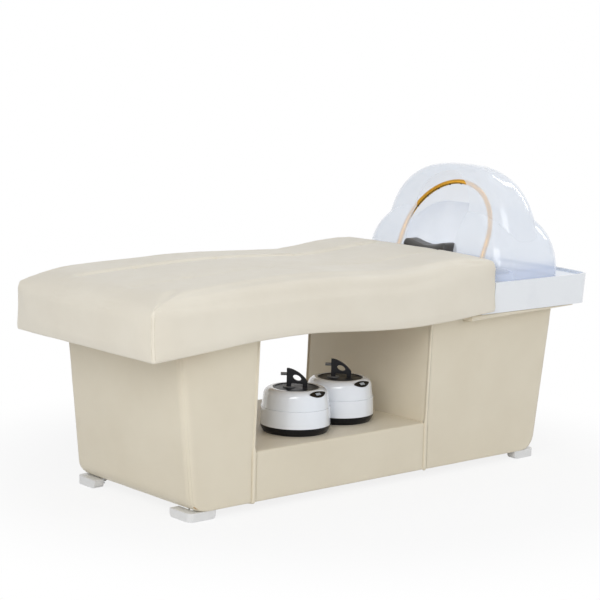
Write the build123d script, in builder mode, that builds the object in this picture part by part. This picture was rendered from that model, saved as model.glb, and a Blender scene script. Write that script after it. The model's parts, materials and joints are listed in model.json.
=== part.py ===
from build123d import *
import math
import os

# Hair washing bed, in millimetres. +X runs to the basin, +Z is up, and the origin is on the floor
# under the middle of the bed. Places that start at the foot end are measured from foot_x.

# Whole bed. A reach is measured past the head end of the mattress, and a setback short of it.
mattress_length = 1390.0
basin_reach = 510.0
bed_length = mattress_length + basin_reach
foot_x = -bed_length / 2
seat_gap = 0.3
overrun = 20.0

# Mattress: shares run along its length, up its wave_rise and up its top_rise
mattress_width = 725.0
underside_height = 502.0
wave_rise = 34.0
top_height = 669.0
top_rise = 46.0
wave_shares = [
    (0.00, 0.00, 0.00), (0.07, 0.21, 0.35), (0.16, 0.50, 0.54), (0.26, 0.84, 0.67),
    (0.36, 0.97, 0.78), (0.45, 0.96, 0.79), (0.53, 0.75, 0.71), (0.62, 0.51, 0.60),
    (0.71, 0.38, 0.52), (0.78, 0.41, 0.63), (0.86, 0.57, 0.88), (0.93, 0.79, 1.00),
    (1.00, 1.00, 1.00),
]
mattress_seam_round = 6.0
mattress_edge_round = 27.0
mattress_side_hollow = 4.0
mattress_side_lean = 5.0
mattress_crown = 5.0
channel_place = 140.0
channel_depth = 5.0
channel_width = 20.0
foot_end_round = 14.0
head_end_round = 30.0
end_step_share = 0.35
tuft_start = 300.0
tuft_pitch = 315.0
tuft_rows = 4
tuft_radius = 34.0
tuft_depth = 9.0

# Mattress board, let into the underside of the mattress
board_margin = 28.0
board_thickness = 15.0

# Base: an upholstered timber carcass with an open bay
base_width = 600.0
foot_height = 27.0
base_start_low = 189.0
base_start_high = 137.0
base_end_low_reach = 282.0
base_end_low = mattress_length + base_end_low_reach
base_end_high_reach = 358.0
base_end_high = mattress_length + base_end_high_reach
base_block_height = 545.0
base_corner_round = 26.0
base_low_round = 47.0
bay_start = 424.0
bay_end_setback = 248.0
bay_end = mattress_length - bay_end_setback
bay_lean = 14.0
bay_floor = 184.0
cover_thickness = 6.0
ply_thickness = 15.0
hem_width = 45.0

# Battens and board bolts
batten_size = 40.0
bolt_radius = 4.0
bolt_head_radius = 7.5
bolt_head_height = 5.0
bolt_reach = 10.0
bolt_spread = 170.0
hole_clearance = 0.3

# Corner feet
foot_leg_x = 97.0
foot_leg_y = 100.0
foot_leg_width = 34.0
foot_inset = 3.0
foot_toe_round = 14.0
foot_corner_round = 20.0
foot_screw_radius = 2.5
foot_screw_reach = 12.0
foot_screw_head = 5.0
foot_screw_head_height = 3.0
foot_screw_recess = 9.0
foot_screw_share = 0.72

# Service board in the bottom of the head pedestal
service_length = 240.0
service_width = 260.0
service_middle_reach = 130.0
service_middle = mattress_length + service_middle_reach
service_thickness = 9.0
service_lip = 12.0
gland_radius = 9.0
gland_height = 14.0
gland_flange_radius = 14.0
gland_flange_height = 3.0
gland_shift = 85.0

# Basin apron, the upholstered cradle under the basin
apron_start_setback = 95.0
apron_start = mattress_length - apron_start_setback
apron_front_height = 509.0
apron_end_reach = 416.0
apron_end = mattress_length + apron_end_reach
apron_end_thickness = 3.0
apron_half_width = 345.0
apron_nose_round = 8.0
apron_corner_round = 30.0
window_start_reach = 50.0
window_start_place = mattress_length + window_start_reach
window_end_reach = 326.0
window_end_place = mattress_length + window_end_reach
window_half_width = 250.0

# Basin
basin_low = 528.0
basin_top = 631.0
basin_half_width = 352.0
basin_side_end_reach = 472.0
basin_side_end = mattress_length + basin_side_end_reach
basin_corner_round = 46.0
basin_draft_angle = 4.0
basin_wall = 5.0
rim_width = 8.0
deck_drop = 6.0
tongue_start_setback = 49.0
tongue_start = mattress_length - tongue_start_setback
tongue_rise = 4.0
mattress_clearance = 3.5
bowl_middle_reach = 208.0
bowl_middle = mattress_length + bowl_middle_reach
bowl_length = 250.0
bowl_width = 376.0
bowl_depth = 180.0
bowl_level_shares = [(0.0, 1.0), (0.35, 0.93), (0.72, 0.76), (0.94, 0.48), (1.0, 0.34)]
bowl_lip_round = 5.0
slot_length = 16.0
slot_width = 5.0
slot_middle_reach = 210.0
slot_middle = mattress_length + slot_middle_reach
slot_edge = 14.0

# Drain
drain_radius = 24.0
drain_flange_radius = 34.0
drain_flange_height = 2.5
drain_wall = 2.5
drain_sleeve_reach = 20.0
strainer_wall = 1.5
strainer_rim_radius = 28.0
strainer_rim_height = 2.0
strainer_slot_count = 6
strainer_slot_width = 3.0
trap_radius = 34.0
trap_height = 110.0
trap_low = 170.0
trap_wall = 3.0
trap_stub = 14.0
port_rise = 24.0
waste_drop = 30.0
waste_radius = 20.0
waste_wall = 2.0
waste_shift = 90.0
waste_bend = 45.0
waste_stub = 15.0
waste_collar_radius = 27.0
waste_collar_height = 3.0

# Water ring: an arch of tube, leaning back, on two pivots
ring_tube_radius = 8.0
ring_tube_bore = 6.0
ring_lean_angle = 22.7
ring_half_width = 204.0
ring_leg_length = 75.0
ring_pivot_reach = 78.0
ring_pivot_x = mattress_length + ring_pivot_reach
ring_pivot_height = 672.0
ring_hub_radius = 12.0
ring_hub_width = 22.0
journal_radius = 6.95
journal_bore = 7.0
bracket_gap = 0.5
bracket_width = 14.0
bracket_radius = 15.0
bracket_foot_length = 44.0
bracket_foot_width = 36.0
bracket_foot_height = 5.0
stem_radius = 6.0
stem_length = 24.0
knob_radius = 10.0
knob_width = 12.0
knob_round = 2.0
nozzle_radius = 3.0
nozzle_height = 2.5
nozzle_count = 9
nozzle_spread_angle = 120.0

# Pump and hoses
pump_radius = 42.0
pump_length = 120.0
pump_middle_setback = 100.0
pump_middle = mattress_length - pump_middle_setback
pump_height = 122.0
pump_shift = -60.0
pump_head_radius = 50.0
pump_head_length = 34.0
pump_port_radius = 9.0
pump_port_length = 22.0
cradle_width = 80.0
cradle_length = 70.0
hose_radius = 9.0
hose_wall = 2.0
hose_bend_share = 0.45
suction_side = 180.0
suction_step = 110.0
suction_lead = 60.0
pressure_side = 190.0
pressure_lead = 50.0
pressure_drop = 110.0

# Neck support and neck rest
neck_start_reach = 13.0
neck_start = mattress_length + neck_start_reach
neck_length = 56.0
neck_support_height = 62.0
neck_support_width = 190.0
neck_wall = 5.0
neck_round = 8.0
rest_width = 206.0
rest_overhang = 4.0
rest_side_rise = 46.0
rest_dip = 15.0
rest_shoulder = 12.0
rest_round = 9.0

# Steam hood: a lower tier and an upper tier, each a rounded box in plan
hood_wall = 3.0
hood_seal_height = 3.0
lower_middle_reach = 194.0
lower_middle = mattress_length + lower_middle_reach
lower_half_length = 161.0
lower_half_width = 341.0
lower_rise = 244.0
lower_profile_power = 2.5
lower_plan_power = 7.5
upper_middle_reach = 189.0
upper_middle = mattress_length + upper_middle_reach
upper_half_length = 107.0
upper_half_width = 322.0
upper_rise = 365.4
upper_profile_power = 2.61
upper_plan_power = 4.0
tier_level_shares = [1.0, 0.985, 0.94, 0.85, 0.7, 0.5, 0.28, 0.12]
tier_point_count = 32
opening_low_half = 110.0
opening_half = 127.0
opening_middle = 843.0
opening_depth = 150.0

# Steamers, standing in the bay
steamer_places = {"steamer_1": (296.0, -139.0), "steamer_2": (524.0, -93.0)}
steamer_radius = 112.0
steamer_foot_radius = 101.0
steamer_base_height = 24.0
lower_shell_height = 55.0
lower_shell_draft = 2.0
step_depth = 2.5
upper_shell_height = 60.0
upper_shell_draft = 4.0
shell_wall = 3.0
shoulder_rise = 22.0
mouth_radius = 74.0
mouth_thickness = 4.0
kettle_radius = 69.0
kettle_wall = 1.5
kettle_flange_radius = 77.0
kettle_flange_height = 2.0
heater_radius = 58.0
heater_height = 6.0
heater_seat = 3.0
gasket_width = 6.0
gasket_height = 1.5
lid_radius = 72.0
lid_height = 5.0
lid_rim = 5.0
lid_drop = 1.5
lid_seat = 0.3
handle_angle = -41.0
handle_thickness = 13.0
handle_left = 30.0
handle_right = 36.0
handle_height = 60.0
handle_low_end = 20.0
handle_leg_width = 15.0
handle_arch_low = 14.0
handle_hole_length = 28.0
handle_hole_height = 17.0
handle_hole_angle = -28.0
handle_hole_x = 3.0
handle_hole_z = 30.0
steam_disc_radius = 19.0
steam_disc_height = 3.0
steam_nozzle_radius = 5.0
steam_nozzle_bore = 3.0
steam_nozzle_length = 19.0
steam_nozzle_rise = 42.0
steam_riser_radius = 4.0
steam_riser_bore = 2.5
panel_angle = -84.0
panel_tilt = 52.0
panel_reach = 92.0
panel_drop = 9.0
panel_corner_round = 3.0
panel_length = 74.0
panel_width = 24.0
panel_thickness = 2.0
display_length = 20.0
display_width = 9.0
display_thickness = 0.8

os.makedirs("parts", exist_ok=True)


def write(part, name):
    """Label a finished piece and write it under its own name."""
    part.label = name
    export_step(part, "parts/" + name + ".step")


# Wave of the mattress

def wave_at(place, column):
    """Share of a wave column at a place along the mattress, straight between the listed places."""
    share = place / mattress_length
    for low, high in zip(wave_shares, wave_shares[1:]):
        if share <= high[0]:
            return low[column] + (high[column] - low[column]) * (share - low[0]) / (high[0] - low[0])
    return wave_shares[-1][column]


def underside_at(place):
    """Height of the mattress underside at a place along it."""
    return underside_height + wave_rise * wave_at(place, 1)


def top_at(place):
    """Height of the mattress top at a place along it."""
    return top_height + top_rise * wave_at(place, 2)


# Mattress

def mattress_slice(place, side_inset, low_inset, top_inset):
    """Cross-section of the mattress: hollow sides, rounded top edges, a crown and two channels."""
    half = mattress_width / 2 - side_inset
    low = underside_at(place) + low_inset
    high = top_at(place) - top_inset
    shoulder = half - mattress_side_lean
    edge = mattress_edge_round
    seam = mattress_seam_round
    middle = (low + high - edge) / 2
    lap = channel_width / 2
    with BuildSketch(Plane.YZ.offset(foot_x + place)) as slice_face:
        with BuildLine():
            Line((-half + seam, low), (half - seam, low))
            for side in (1, -1):
                hollow = (side * (half - mattress_side_hollow), middle)
                curve = math.sqrt(0.5)
                bend = (side * (shoulder - edge + edge * curve), high - edge + edge * curve)
                outer = (shoulder - edge + channel_place + lap) / 2
                Line((side * (half - seam), low), (side * half, low + seam))
                ThreePointArc((side * half, low + seam), hollow, (side * shoulder, high - edge))
                ThreePointArc((side * shoulder, high - edge), bend, (side * (shoulder - edge), high))
                ThreePointArc(
                    (side * (shoulder - edge), high),
                    (side * outer, high + mattress_crown),
                    (side * (channel_place + lap), high),
                )
                ThreePointArc(
                    (side * (channel_place + lap), high),
                    (side * channel_place, high - channel_depth),
                    (side * (channel_place - lap), high),
                )
            ThreePointArc(
                (channel_place - lap, high), (0, high + mattress_crown), (-channel_place + lap, high)
            )
        make_face()
    return slice_face.sketch


body_end = mattress_length - head_end_round
wave_places = [row[0] * mattress_length for row in wave_shares]
body_places = [place for place in wave_places if foot_end_round < place < body_end]
foot_step = foot_end_round * end_step_share
head_step = head_end_round * end_step_share
foot_insets = ((foot_end_round, 0), (foot_step, foot_step / 2), (0, foot_end_round / 2))
head_insets = (
    (body_end, 0), (mattress_length - head_step, head_step),
    (mattress_length, head_end_round - head_step),
)
body_slices = [
    mattress_slice(place, 0, 0, 0)
    for place in [foot_end_round] + body_places + [body_end]
]
foot_slices = [mattress_slice(place, inset / 2, 0, inset) for place, inset in foot_insets]
head_slices = [mattress_slice(place, inset / 2, inset, inset) for place, inset in head_insets]
with BuildPart() as mattress_form:
    loft(body_slices)
    loft(foot_slices, ruled=True)
    loft(head_slices, ruled=True)


def board_space(clearance):
    """Space of the plywood board under the foam, grown by a clearance for its pocket."""
    start = board_margin - clearance
    end = body_end - board_margin + clearance
    foam = mattress_form.part.moved(Location((0, 0, board_thickness + clearance)))
    with BuildPart() as space:
        with Locations((foot_x + (start + end) / 2, 0, underside_height - overrun)):
            Box(
                end - start, mattress_width - 2 * board_margin + 2 * clearance,
                overrun + wave_rise + 2 * board_thickness,
                align=(Align.CENTER, Align.CENTER, Align.MIN),
            )
        add(foam, mode=Mode.SUBTRACT)
    return space.part


with BuildPart() as mattress:
    add(mattress_form)
    add(board_space(seat_gap), mode=Mode.SUBTRACT)
    for row in range(tuft_rows):
        place = tuft_start + row * tuft_pitch
        tuft_z = top_at(place) - channel_depth - tuft_depth + tuft_radius
        with Locations(*[(foot_x + place, side * channel_place, tuft_z) for side in (1, -1)]):
            Sphere(tuft_radius, mode=Mode.SUBTRACT)
write(mattress.part, "mattress")


# Base: carcass and covers are layers of one block, cut by the bay and by the wave above

def base_block(inset):
    """Tapered block with rounded corners and the bay cut through, drawn in by inset all round."""
    low = foot_height + inset
    starts = (base_start_low + inset, base_start_high + inset)
    ends = (base_end_low - inset, base_end_high - inset)
    levels = (low, base_block_height)
    reach = (bay_floor - inset - base_block_height) / (bay_floor - base_block_height)
    with BuildPart() as block:
        for start, end, level in zip(starts, ends, levels):
            with BuildSketch(Plane.XY.offset(level)):
                with Locations((foot_x + (start + end) / 2, 0)):
                    RectangleRounded(end - start, base_width - 2 * inset, base_corner_round - inset)
        loft(ruled=True)
        with BuildSketch(Plane.XZ):
            with BuildLine():
                Polyline(
                    (foot_x + starts[0], low),
                    (foot_x + ends[0], low),
                    (foot_x + ends[1], base_block_height),
                    (foot_x + bay_end + bay_lean + inset, base_block_height),
                    (foot_x + bay_end + bay_lean * (1 - reach) + inset, bay_floor - inset),
                    (foot_x + bay_start + bay_lean * (1 - reach) - inset, bay_floor - inset),
                    (foot_x + bay_start + bay_lean - inset, base_block_height),
                    (foot_x + starts[1], base_block_height),
                    close=True,
                )
            outline = make_face()
            fillet(outline.vertices().group_by(Axis.Y)[0], base_low_round - inset)
        extrude(amount=base_width, both=True, mode=Mode.INTERSECT)
    return block.part


def above_base():
    """All that lies over the carcass: the mattress, then the sloping underside of the apron."""
    start = foot_x + apron_start - seat_gap
    end = foot_x + apron_end
    high = base_block_height + overrun
    with BuildPart() as above:
        add(mattress_form.part.moved(Location((0, 0, -seat_gap))))
        with BuildSketch(Plane.XZ):
            with BuildLine():
                Polyline(
                    (start, apron_front_height - seat_gap),
                    (end, apron_top - apron_end_thickness - seat_gap),
                    (end, high),
                    (start, high),
                    close=True,
                )
            make_face()
        extrude(amount=base_width, both=True)
    return above.part


def zone(start, end, low, high):
    """Box across the whole base between two places and two heights."""
    with BuildPart() as box:
        with Locations((foot_x + (start + end) / 2, 0, (low + high) / 2)):
            Box(end - start, 2 * base_width, high - low)
    return box.part


apron_top = basin_low - seat_gap
over_base = above_base()
tray_zone = zone(bay_start, bay_end, -overrun, bay_floor)
foot_zone = zone(-overrun, (bay_start + bay_end) / 2, -overrun, base_block_height + overrun)
head_zone = zone((bay_start + bay_end) / 2, bed_length, -overrun, base_block_height + overrun)
foot_zone = foot_zone - tray_zone
head_zone = head_zone - tray_zone
cover_inner = base_block(cover_thickness)
frame_inner = base_block(cover_thickness + ply_thickness)


def foot_screw_places():
    """Two screws in each corner foot, one in each leg."""
    places = []
    for end_place, inward in ((base_start_low - foot_inset, 1), (base_end_low + foot_inset, -1)):
        for side in (1, -1):
            edge = side * (base_width / 2 - foot_inset)
            along = foot_x + end_place + inward * foot_leg_x * foot_screw_share
            across = edge - side * foot_leg_y * foot_screw_share
            places.append((along, edge - side * foot_leg_width / 2))
            places.append((foot_x + end_place + inward * (base_low_round + foot_screw_head), across))
    return places


service_x = foot_x + service_middle
waste_x = foot_x + bowl_middle - waste_shift
gland_place = (service_x - gland_shift, gland_shift)


def base_holes(low, high, radius):
    """Holes for the screws of the feet between two heights."""
    with BuildPart() as holes:
        with Locations(*[(x, y, (low + high) / 2) for x, y in foot_screw_places()]):
            Cylinder(radius, high - low)
    return holes.part


screw_top = foot_height + cover_thickness + foot_screw_reach
screw_holes = base_holes(foot_height - overrun, screw_top + seat_gap, foot_screw_radius + hole_clearance)

# Upholstery covers: foam-backed synthetic leather, hemmed under the base

with BuildPart() as cover_window:
    window_start = foot_x + base_start_low + base_low_round + hem_width
    window_end = foot_x + base_end_low - base_low_round - hem_width
    with Locations(((window_start + window_end) / 2, 0, foot_height)):
        Box(window_end - window_start, base_width - 2 * hem_width, 2 * cover_thickness)

cover_layer = base_block(0) - cover_inner - over_base - cover_window.part - screw_holes
for cover_name, cover_zone in (("foot", foot_zone), ("tray", tray_zone), ("head", head_zone)):
    with BuildPart() as cover:
        add(cover_layer)
        add(cover_zone, mode=Mode.INTERSECT)
    write(cover.part, cover_name + "_cover")

# Carcass: plywood boxes with a partition at each side of the tray

with BuildPart() as carcass_inside:
    add(frame_inner)
    for start in (bay_start - ply_thickness, bay_end):
        with Locations((foot_x + start + ply_thickness / 2, 0, bay_floor / 2)):
            Box(ply_thickness, base_width, bay_floor, mode=Mode.SUBTRACT)

with BuildPart() as service_cut:
    board_low = foot_height + cover_thickness
    with Locations((service_x, 0, board_low + ply_thickness / 2)):
        Box(service_length - 2 * service_lip, service_width - 2 * service_lip, 2 * ply_thickness)
    with Locations((service_x, 0, board_low + ply_thickness - service_thickness / 2)):
        Box(service_length + 2 * seat_gap, service_width + 2 * seat_gap, service_thickness)

frame_layer = cover_inner - carcass_inside.part - over_base - screw_holes - service_cut.part
for frame_name, frame_zone in (("foot", foot_zone), ("tray", tray_zone), ("head", head_zone)):
    with BuildPart() as frame:
        add(frame_layer)
        add(frame_zone, mode=Mode.INTERSECT)
    write(frame.part, frame_name + "_frame")

# Battens across the pedestals beside the bay, and the bolts that hold the mattress board to them

inner_half = base_width / 2 - cover_thickness - ply_thickness - seat_gap
wall_reach = cover_thickness + ply_thickness + seat_gap
batten_x = {
    "foot": foot_x + bay_start - wall_reach - batten_size / 2,
    "head": foot_x + bay_end + bay_lean + wall_reach + batten_size / 2,
}
bolt_places = []
for batten_name, batten_middle in batten_x.items():
    batten_low = underside_at(batten_middle - foot_x) - batten_size - overrun / 4
    with BuildPart() as batten:
        with Locations((batten_middle, 0, batten_low)):
            Box(batten_size, 2 * inner_half, base_block_height - batten_low,
                align=(Align.CENTER, Align.CENTER, Align.MIN))
        add(over_base, mode=Mode.SUBTRACT)
        for side in (1, -1):
            bolt_places.append((batten_middle, side * bolt_spread, batten_low))
            with Locations((batten_middle, side * bolt_spread, batten_low)):
                Cylinder(bolt_radius + hole_clearance, 4 * batten_size, mode=Mode.SUBTRACT)
    write(batten.part, batten_name + "_batten")

with BuildPart() as mattress_board:
    add(mattress_form)
    add(board_space(0), mode=Mode.INTERSECT)
    for x, y, low in bolt_places:
        with Locations((x, y, low)):
            bolt_top = underside_at(x - foot_x) + bolt_reach + seat_gap
            Cylinder(
                bolt_radius + hole_clearance, bolt_top - low,
                align=(Align.CENTER, Align.CENTER, Align.MIN), mode=Mode.SUBTRACT,
            )
write(mattress_board.part, "mattress_board")

with BuildPart() as board_bolts:
    for x, y, low in bolt_places:
        with Locations((x, y, low - bolt_head_height)):
            Cylinder(bolt_head_radius, bolt_head_height, align=(Align.CENTER, Align.CENTER, Align.MIN))
        with Locations((x, y, low)):
            bolt_top = underside_at(x - foot_x) + bolt_reach
            Cylinder(bolt_radius, bolt_top - low, align=(Align.CENTER, Align.CENTER, Align.MIN))
write(board_bolts.part, "board_bolts")

# Corner feet: L-shaped moulded blocks with rounded toes, each held by two screws

foot_number = 0
for end_place, inward in ((base_start_low - foot_inset, 1), (base_end_low + foot_inset, -1)):
    for side in (1, -1):
        foot_number += 1
        corner_x = foot_x + end_place
        corner_y = side * (base_width / 2 - foot_inset)
        toe_x = corner_x + inward * foot_leg_x
        toe_y = corner_y - side * foot_leg_y
        inner_x = corner_x + inward * foot_leg_width
        inner_y = corner_y - side * foot_leg_width
        with BuildPart() as corner_foot:
            with BuildSketch():
                with BuildLine():
                    Polyline(
                        (corner_x, corner_y), (toe_x, corner_y), (toe_x, inner_y),
                        (inner_x, inner_y), (inner_x, toe_y), (corner_x, toe_y), close=True,
                    )
                outline = make_face()
                corner = outline.vertices().sort_by_distance((corner_x, corner_y, 0))[0]
                fillet(corner, foot_corner_round)
            extrude(amount=foot_height)
            low_edges = corner_foot.edges().group_by(Axis.Z)[0]
            toes = [
                low_edges.sort_by_distance((toe_x, (corner_y + inner_y) / 2, 0))[0],
                low_edges.sort_by_distance(((corner_x + inner_x) / 2, toe_y, 0))[0],
            ]
            fillet(toes, foot_toe_round)
            add(base_holes(-overrun, foot_height + overrun, foot_screw_radius + hole_clearance),
                mode=Mode.SUBTRACT)
            add(base_holes(-overrun, foot_screw_recess, foot_screw_head + hole_clearance),
                mode=Mode.SUBTRACT)
        write(corner_foot.part, "corner_foot_" + str(foot_number))

with BuildPart() as foot_screws:
    add(base_holes(foot_screw_recess, screw_top, foot_screw_radius))
    add(base_holes(foot_screw_recess - foot_screw_head_height, foot_screw_recess, foot_screw_head))
write(foot_screws.part, "foot_screws")

# Service board with the waste outlet and the blanked cable gland

service_top = foot_height + cover_thickness + ply_thickness
with BuildPart() as service_board:
    with Locations((service_x, 0, service_top - service_thickness / 2)):
        Box(service_length, service_width, service_thickness)
    with Locations((waste_x, 0, service_top)):
        Cylinder(waste_radius + hole_clearance, 4 * service_thickness, mode=Mode.SUBTRACT)
    with Locations((*gland_place, service_top)):
        Cylinder(gland_radius + hole_clearance, 4 * service_thickness, mode=Mode.SUBTRACT)
write(service_board.part, "service_board")

with BuildPart() as cable_gland:
    gland_low = service_top - service_thickness - seat_gap
    with Locations((*gland_place, gland_low)):
        Cylinder(gland_radius, gland_height, align=(Align.CENTER, Align.CENTER, Align.MIN))
        Cylinder(gland_flange_radius, gland_flange_height, align=(Align.CENTER, Align.CENTER, Align.MAX))
write(cable_gland.part, "cable_gland")

# Basin apron: a padded cradle that thins towards the back, with a window for the bowl

with BuildPart() as basin_apron:
    with BuildSketch(Plane.XZ):
        with BuildLine():
            Polyline(
                (foot_x + apron_start, apron_front_height),
                (foot_x + apron_end, apron_top - apron_end_thickness),
                (foot_x + apron_end, apron_top),
                (foot_x + apron_start, apron_top),
                close=True,
            )
        outline = make_face()
        fillet(outline.vertices().group_by(Axis.X)[0], apron_nose_round)
    extrude(amount=apron_half_width, both=True)
    upright = basin_apron.edges().filter_by(Axis.Z).group_by(Axis.X)[-1]
    fillet(upright, apron_corner_round)
    with BuildSketch(Plane.XY.offset(apron_front_height - overrun)):
        with Locations((foot_x + (window_start_place + window_end_place) / 2, 0)):
            RectangleRounded(
                window_end_place - window_start_place, 2 * window_half_width, apron_corner_round
            )
    extrude(amount=4 * overrun, mode=Mode.SUBTRACT)
write(basin_apron.part, "basin_apron")

# Basin: a moulded tray with a raised rim, a sunk deck and a bowl, hollow underneath

deck_height = basin_top - deck_drop
draft_reach = (basin_top - basin_low) * math.tan(math.radians(basin_draft_angle))
bowl_x = foot_x + bowl_middle
bracket_y = ring_half_width + ring_hub_width / 2 + bracket_gap + bracket_width / 2


def basin_outline(inset):
    """Plan of the basin: straight sides and front, and a bowed back with rounded corners."""
    half = basin_half_width - inset
    front = foot_x + tongue_start - draft_reach + inset
    corner = foot_x + basin_side_end - inset
    with BuildSketch(Plane.XY.offset(basin_top)) as plan:
        with BuildLine():
            Polyline((corner, half), (front, half), (front, -half), (corner, -half))
            ThreePointArc((corner, -half), (foot_x + bed_length - inset, 0), (corner, half))
        outline = make_face()
        fillet(outline.vertices().group_by(Axis.X)[-1], basin_corner_round - inset)
    return plan.sketch


def bowl_solid(wall):
    """Oval bowl hanging from the deck, grown by its wall."""
    with BuildPart() as bowl_form:
        for depth_share, size_share in bowl_level_shares:
            level = deck_height - (bowl_depth + wall) * depth_share
            with BuildSketch(Plane.XY.offset(level)):
                with Locations((bowl_x, 0)):
                    Ellipse(bowl_length / 2 * size_share + wall, bowl_width / 2 * size_share + wall)
        loft()
    return bowl_form.part


def mattress_end_space(clearance):
    """Space of the mattress end, with its rounded lower corner, grown by a clearance."""
    end = foot_x + mattress_length + clearance
    low = underside_at(mattress_length) - clearance
    with BuildPart() as space:
        with BuildSketch(Plane.XZ):
            with BuildLine():
                Polyline(
                    (end, low),
                    (foot_x + tongue_start - overrun, low),
                    (foot_x + tongue_start - overrun, basin_top + overrun),
                    (end, basin_top + overrun),
                    close=True,
                )
            outline = make_face()
            fillet(outline.vertices().sort_by_distance((end, 0, low))[0], head_end_round)
        extrude(amount=mattress_width, both=True)
    return space.part


under_top = deck_height - basin_wall
basin_full = extrude(basin_outline(0), amount=basin_low - basin_top, taper=basin_draft_angle)
basin_hollow = extrude(
    basin_outline(basin_wall), amount=basin_low - basin_top - overrun, taper=basin_draft_angle
)
with BuildPart() as basin_under:
    add(basin_hollow)
    with Locations((foot_x + bed_length / 2, 0, under_top)):
        Box(2 * bed_length, bed_length, 10 * overrun, align=(Align.CENTER, Align.CENTER, Align.MIN),
            mode=Mode.SUBTRACT)
    add(mattress_end_space(mattress_clearance + basin_wall), mode=Mode.SUBTRACT)

deck_plan = extrude(basin_outline(rim_width), amount=-deck_drop)
with BuildPart() as deck_cut:
    add(deck_plan)
    with Locations((foot_x + mattress_length + mattress_clearance + rim_width, 0, basin_top)):
        Box(bed_length, bed_length, 4 * deck_drop, align=(Align.MAX, Align.CENTER, Align.CENTER),
            mode=Mode.SUBTRACT)

with BuildPart() as basin:
    add(basin_full)
    add(mattress_end_space(mattress_clearance), mode=Mode.SUBTRACT)
    add(basin_under, mode=Mode.SUBTRACT)
    add(bowl_solid(basin_wall))
    add(deck_cut, mode=Mode.SUBTRACT)
    add(bowl_solid(0), mode=Mode.SUBTRACT)
    with Locations((bowl_x, 0, deck_height - bowl_depth)):
        Cylinder(drain_radius + seat_gap, 4 * basin_wall, mode=Mode.SUBTRACT)
    with Locations(*[(foot_x + ring_pivot_x, side * bracket_y, deck_height) for side in (1, -1)]):
        Cylinder(stem_radius + hole_clearance, 4 * basin_wall, mode=Mode.SUBTRACT)
    slot_y = -(basin_half_width - rim_width - slot_edge)
    with Locations((foot_x + slot_middle, slot_y, deck_height)):
        Box(slot_length, slot_width, basin_wall, mode=Mode.SUBTRACT)
write(basin.part, "basin")

# Drain: flange, strainer, tailpipe, bottle trap and waste pipe

bowl_low = deck_height - bowl_depth
flange_low = bowl_low + seat_gap
sleeve_low = bowl_low - basin_wall - drain_sleeve_reach
with BuildPart() as drain_flange:
    with Locations((bowl_x, 0, flange_low)):
        Cylinder(drain_flange_radius, drain_flange_height, align=(Align.CENTER, Align.CENTER, Align.MIN))
    with Locations((bowl_x, 0, sleeve_low)):
        Cylinder(drain_radius, flange_low - sleeve_low, align=(Align.CENTER, Align.CENTER, Align.MIN))
        Cylinder(
            drain_radius - drain_wall, 4 * drain_sleeve_reach,
            align=(Align.CENTER, Align.CENTER, Align.MIN), mode=Mode.SUBTRACT,
        )
write(drain_flange.part, "drain_flange")

drain_bore = drain_radius - drain_wall
tail_radius = drain_bore - seat_gap
tail_top = sleeve_low + drain_sleeve_reach / 2
trap_top = trap_low + trap_height
with BuildPart() as tailpipe:
    tail_low = trap_low + trap_height / 3
    with Locations((bowl_x, 0, tail_low)):
        Cylinder(tail_radius, tail_top - tail_low, align=(Align.CENTER, Align.CENTER, Align.MIN))
        Cylinder(tail_radius - waste_wall, tail_top - tail_low, align=(Align.CENTER, Align.CENTER, Align.MIN),
                 mode=Mode.SUBTRACT)
write(tailpipe.part, "tailpipe")

strainer_bore = drain_bore - seat_gap
strainer_low = tail_top + 2 * seat_gap
strainer_top = flange_low + drain_flange_height + seat_gap
with BuildPart() as drain_strainer:
    with Locations((bowl_x, 0, strainer_low)):
        Cylinder(strainer_bore, strainer_top - strainer_low, align=(Align.CENTER, Align.CENTER, Align.MIN))
    with Locations((bowl_x, 0, strainer_top)):
        Cylinder(strainer_rim_radius, strainer_rim_height, align=(Align.CENTER, Align.CENTER, Align.MIN))
    with Locations((bowl_x, 0, strainer_low + strainer_wall)):
        Cylinder(strainer_bore - strainer_wall, strainer_top, align=(Align.CENTER, Align.CENTER, Align.MIN),
                 mode=Mode.SUBTRACT)
    with Locations((bowl_x, 0, strainer_low)):
        with PolarLocations(strainer_bore / 2, strainer_slot_count):
            Box(strainer_bore / 2, strainer_slot_width, 4 * strainer_wall, mode=Mode.SUBTRACT)
write(drain_strainer.part, "drain_strainer")

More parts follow.
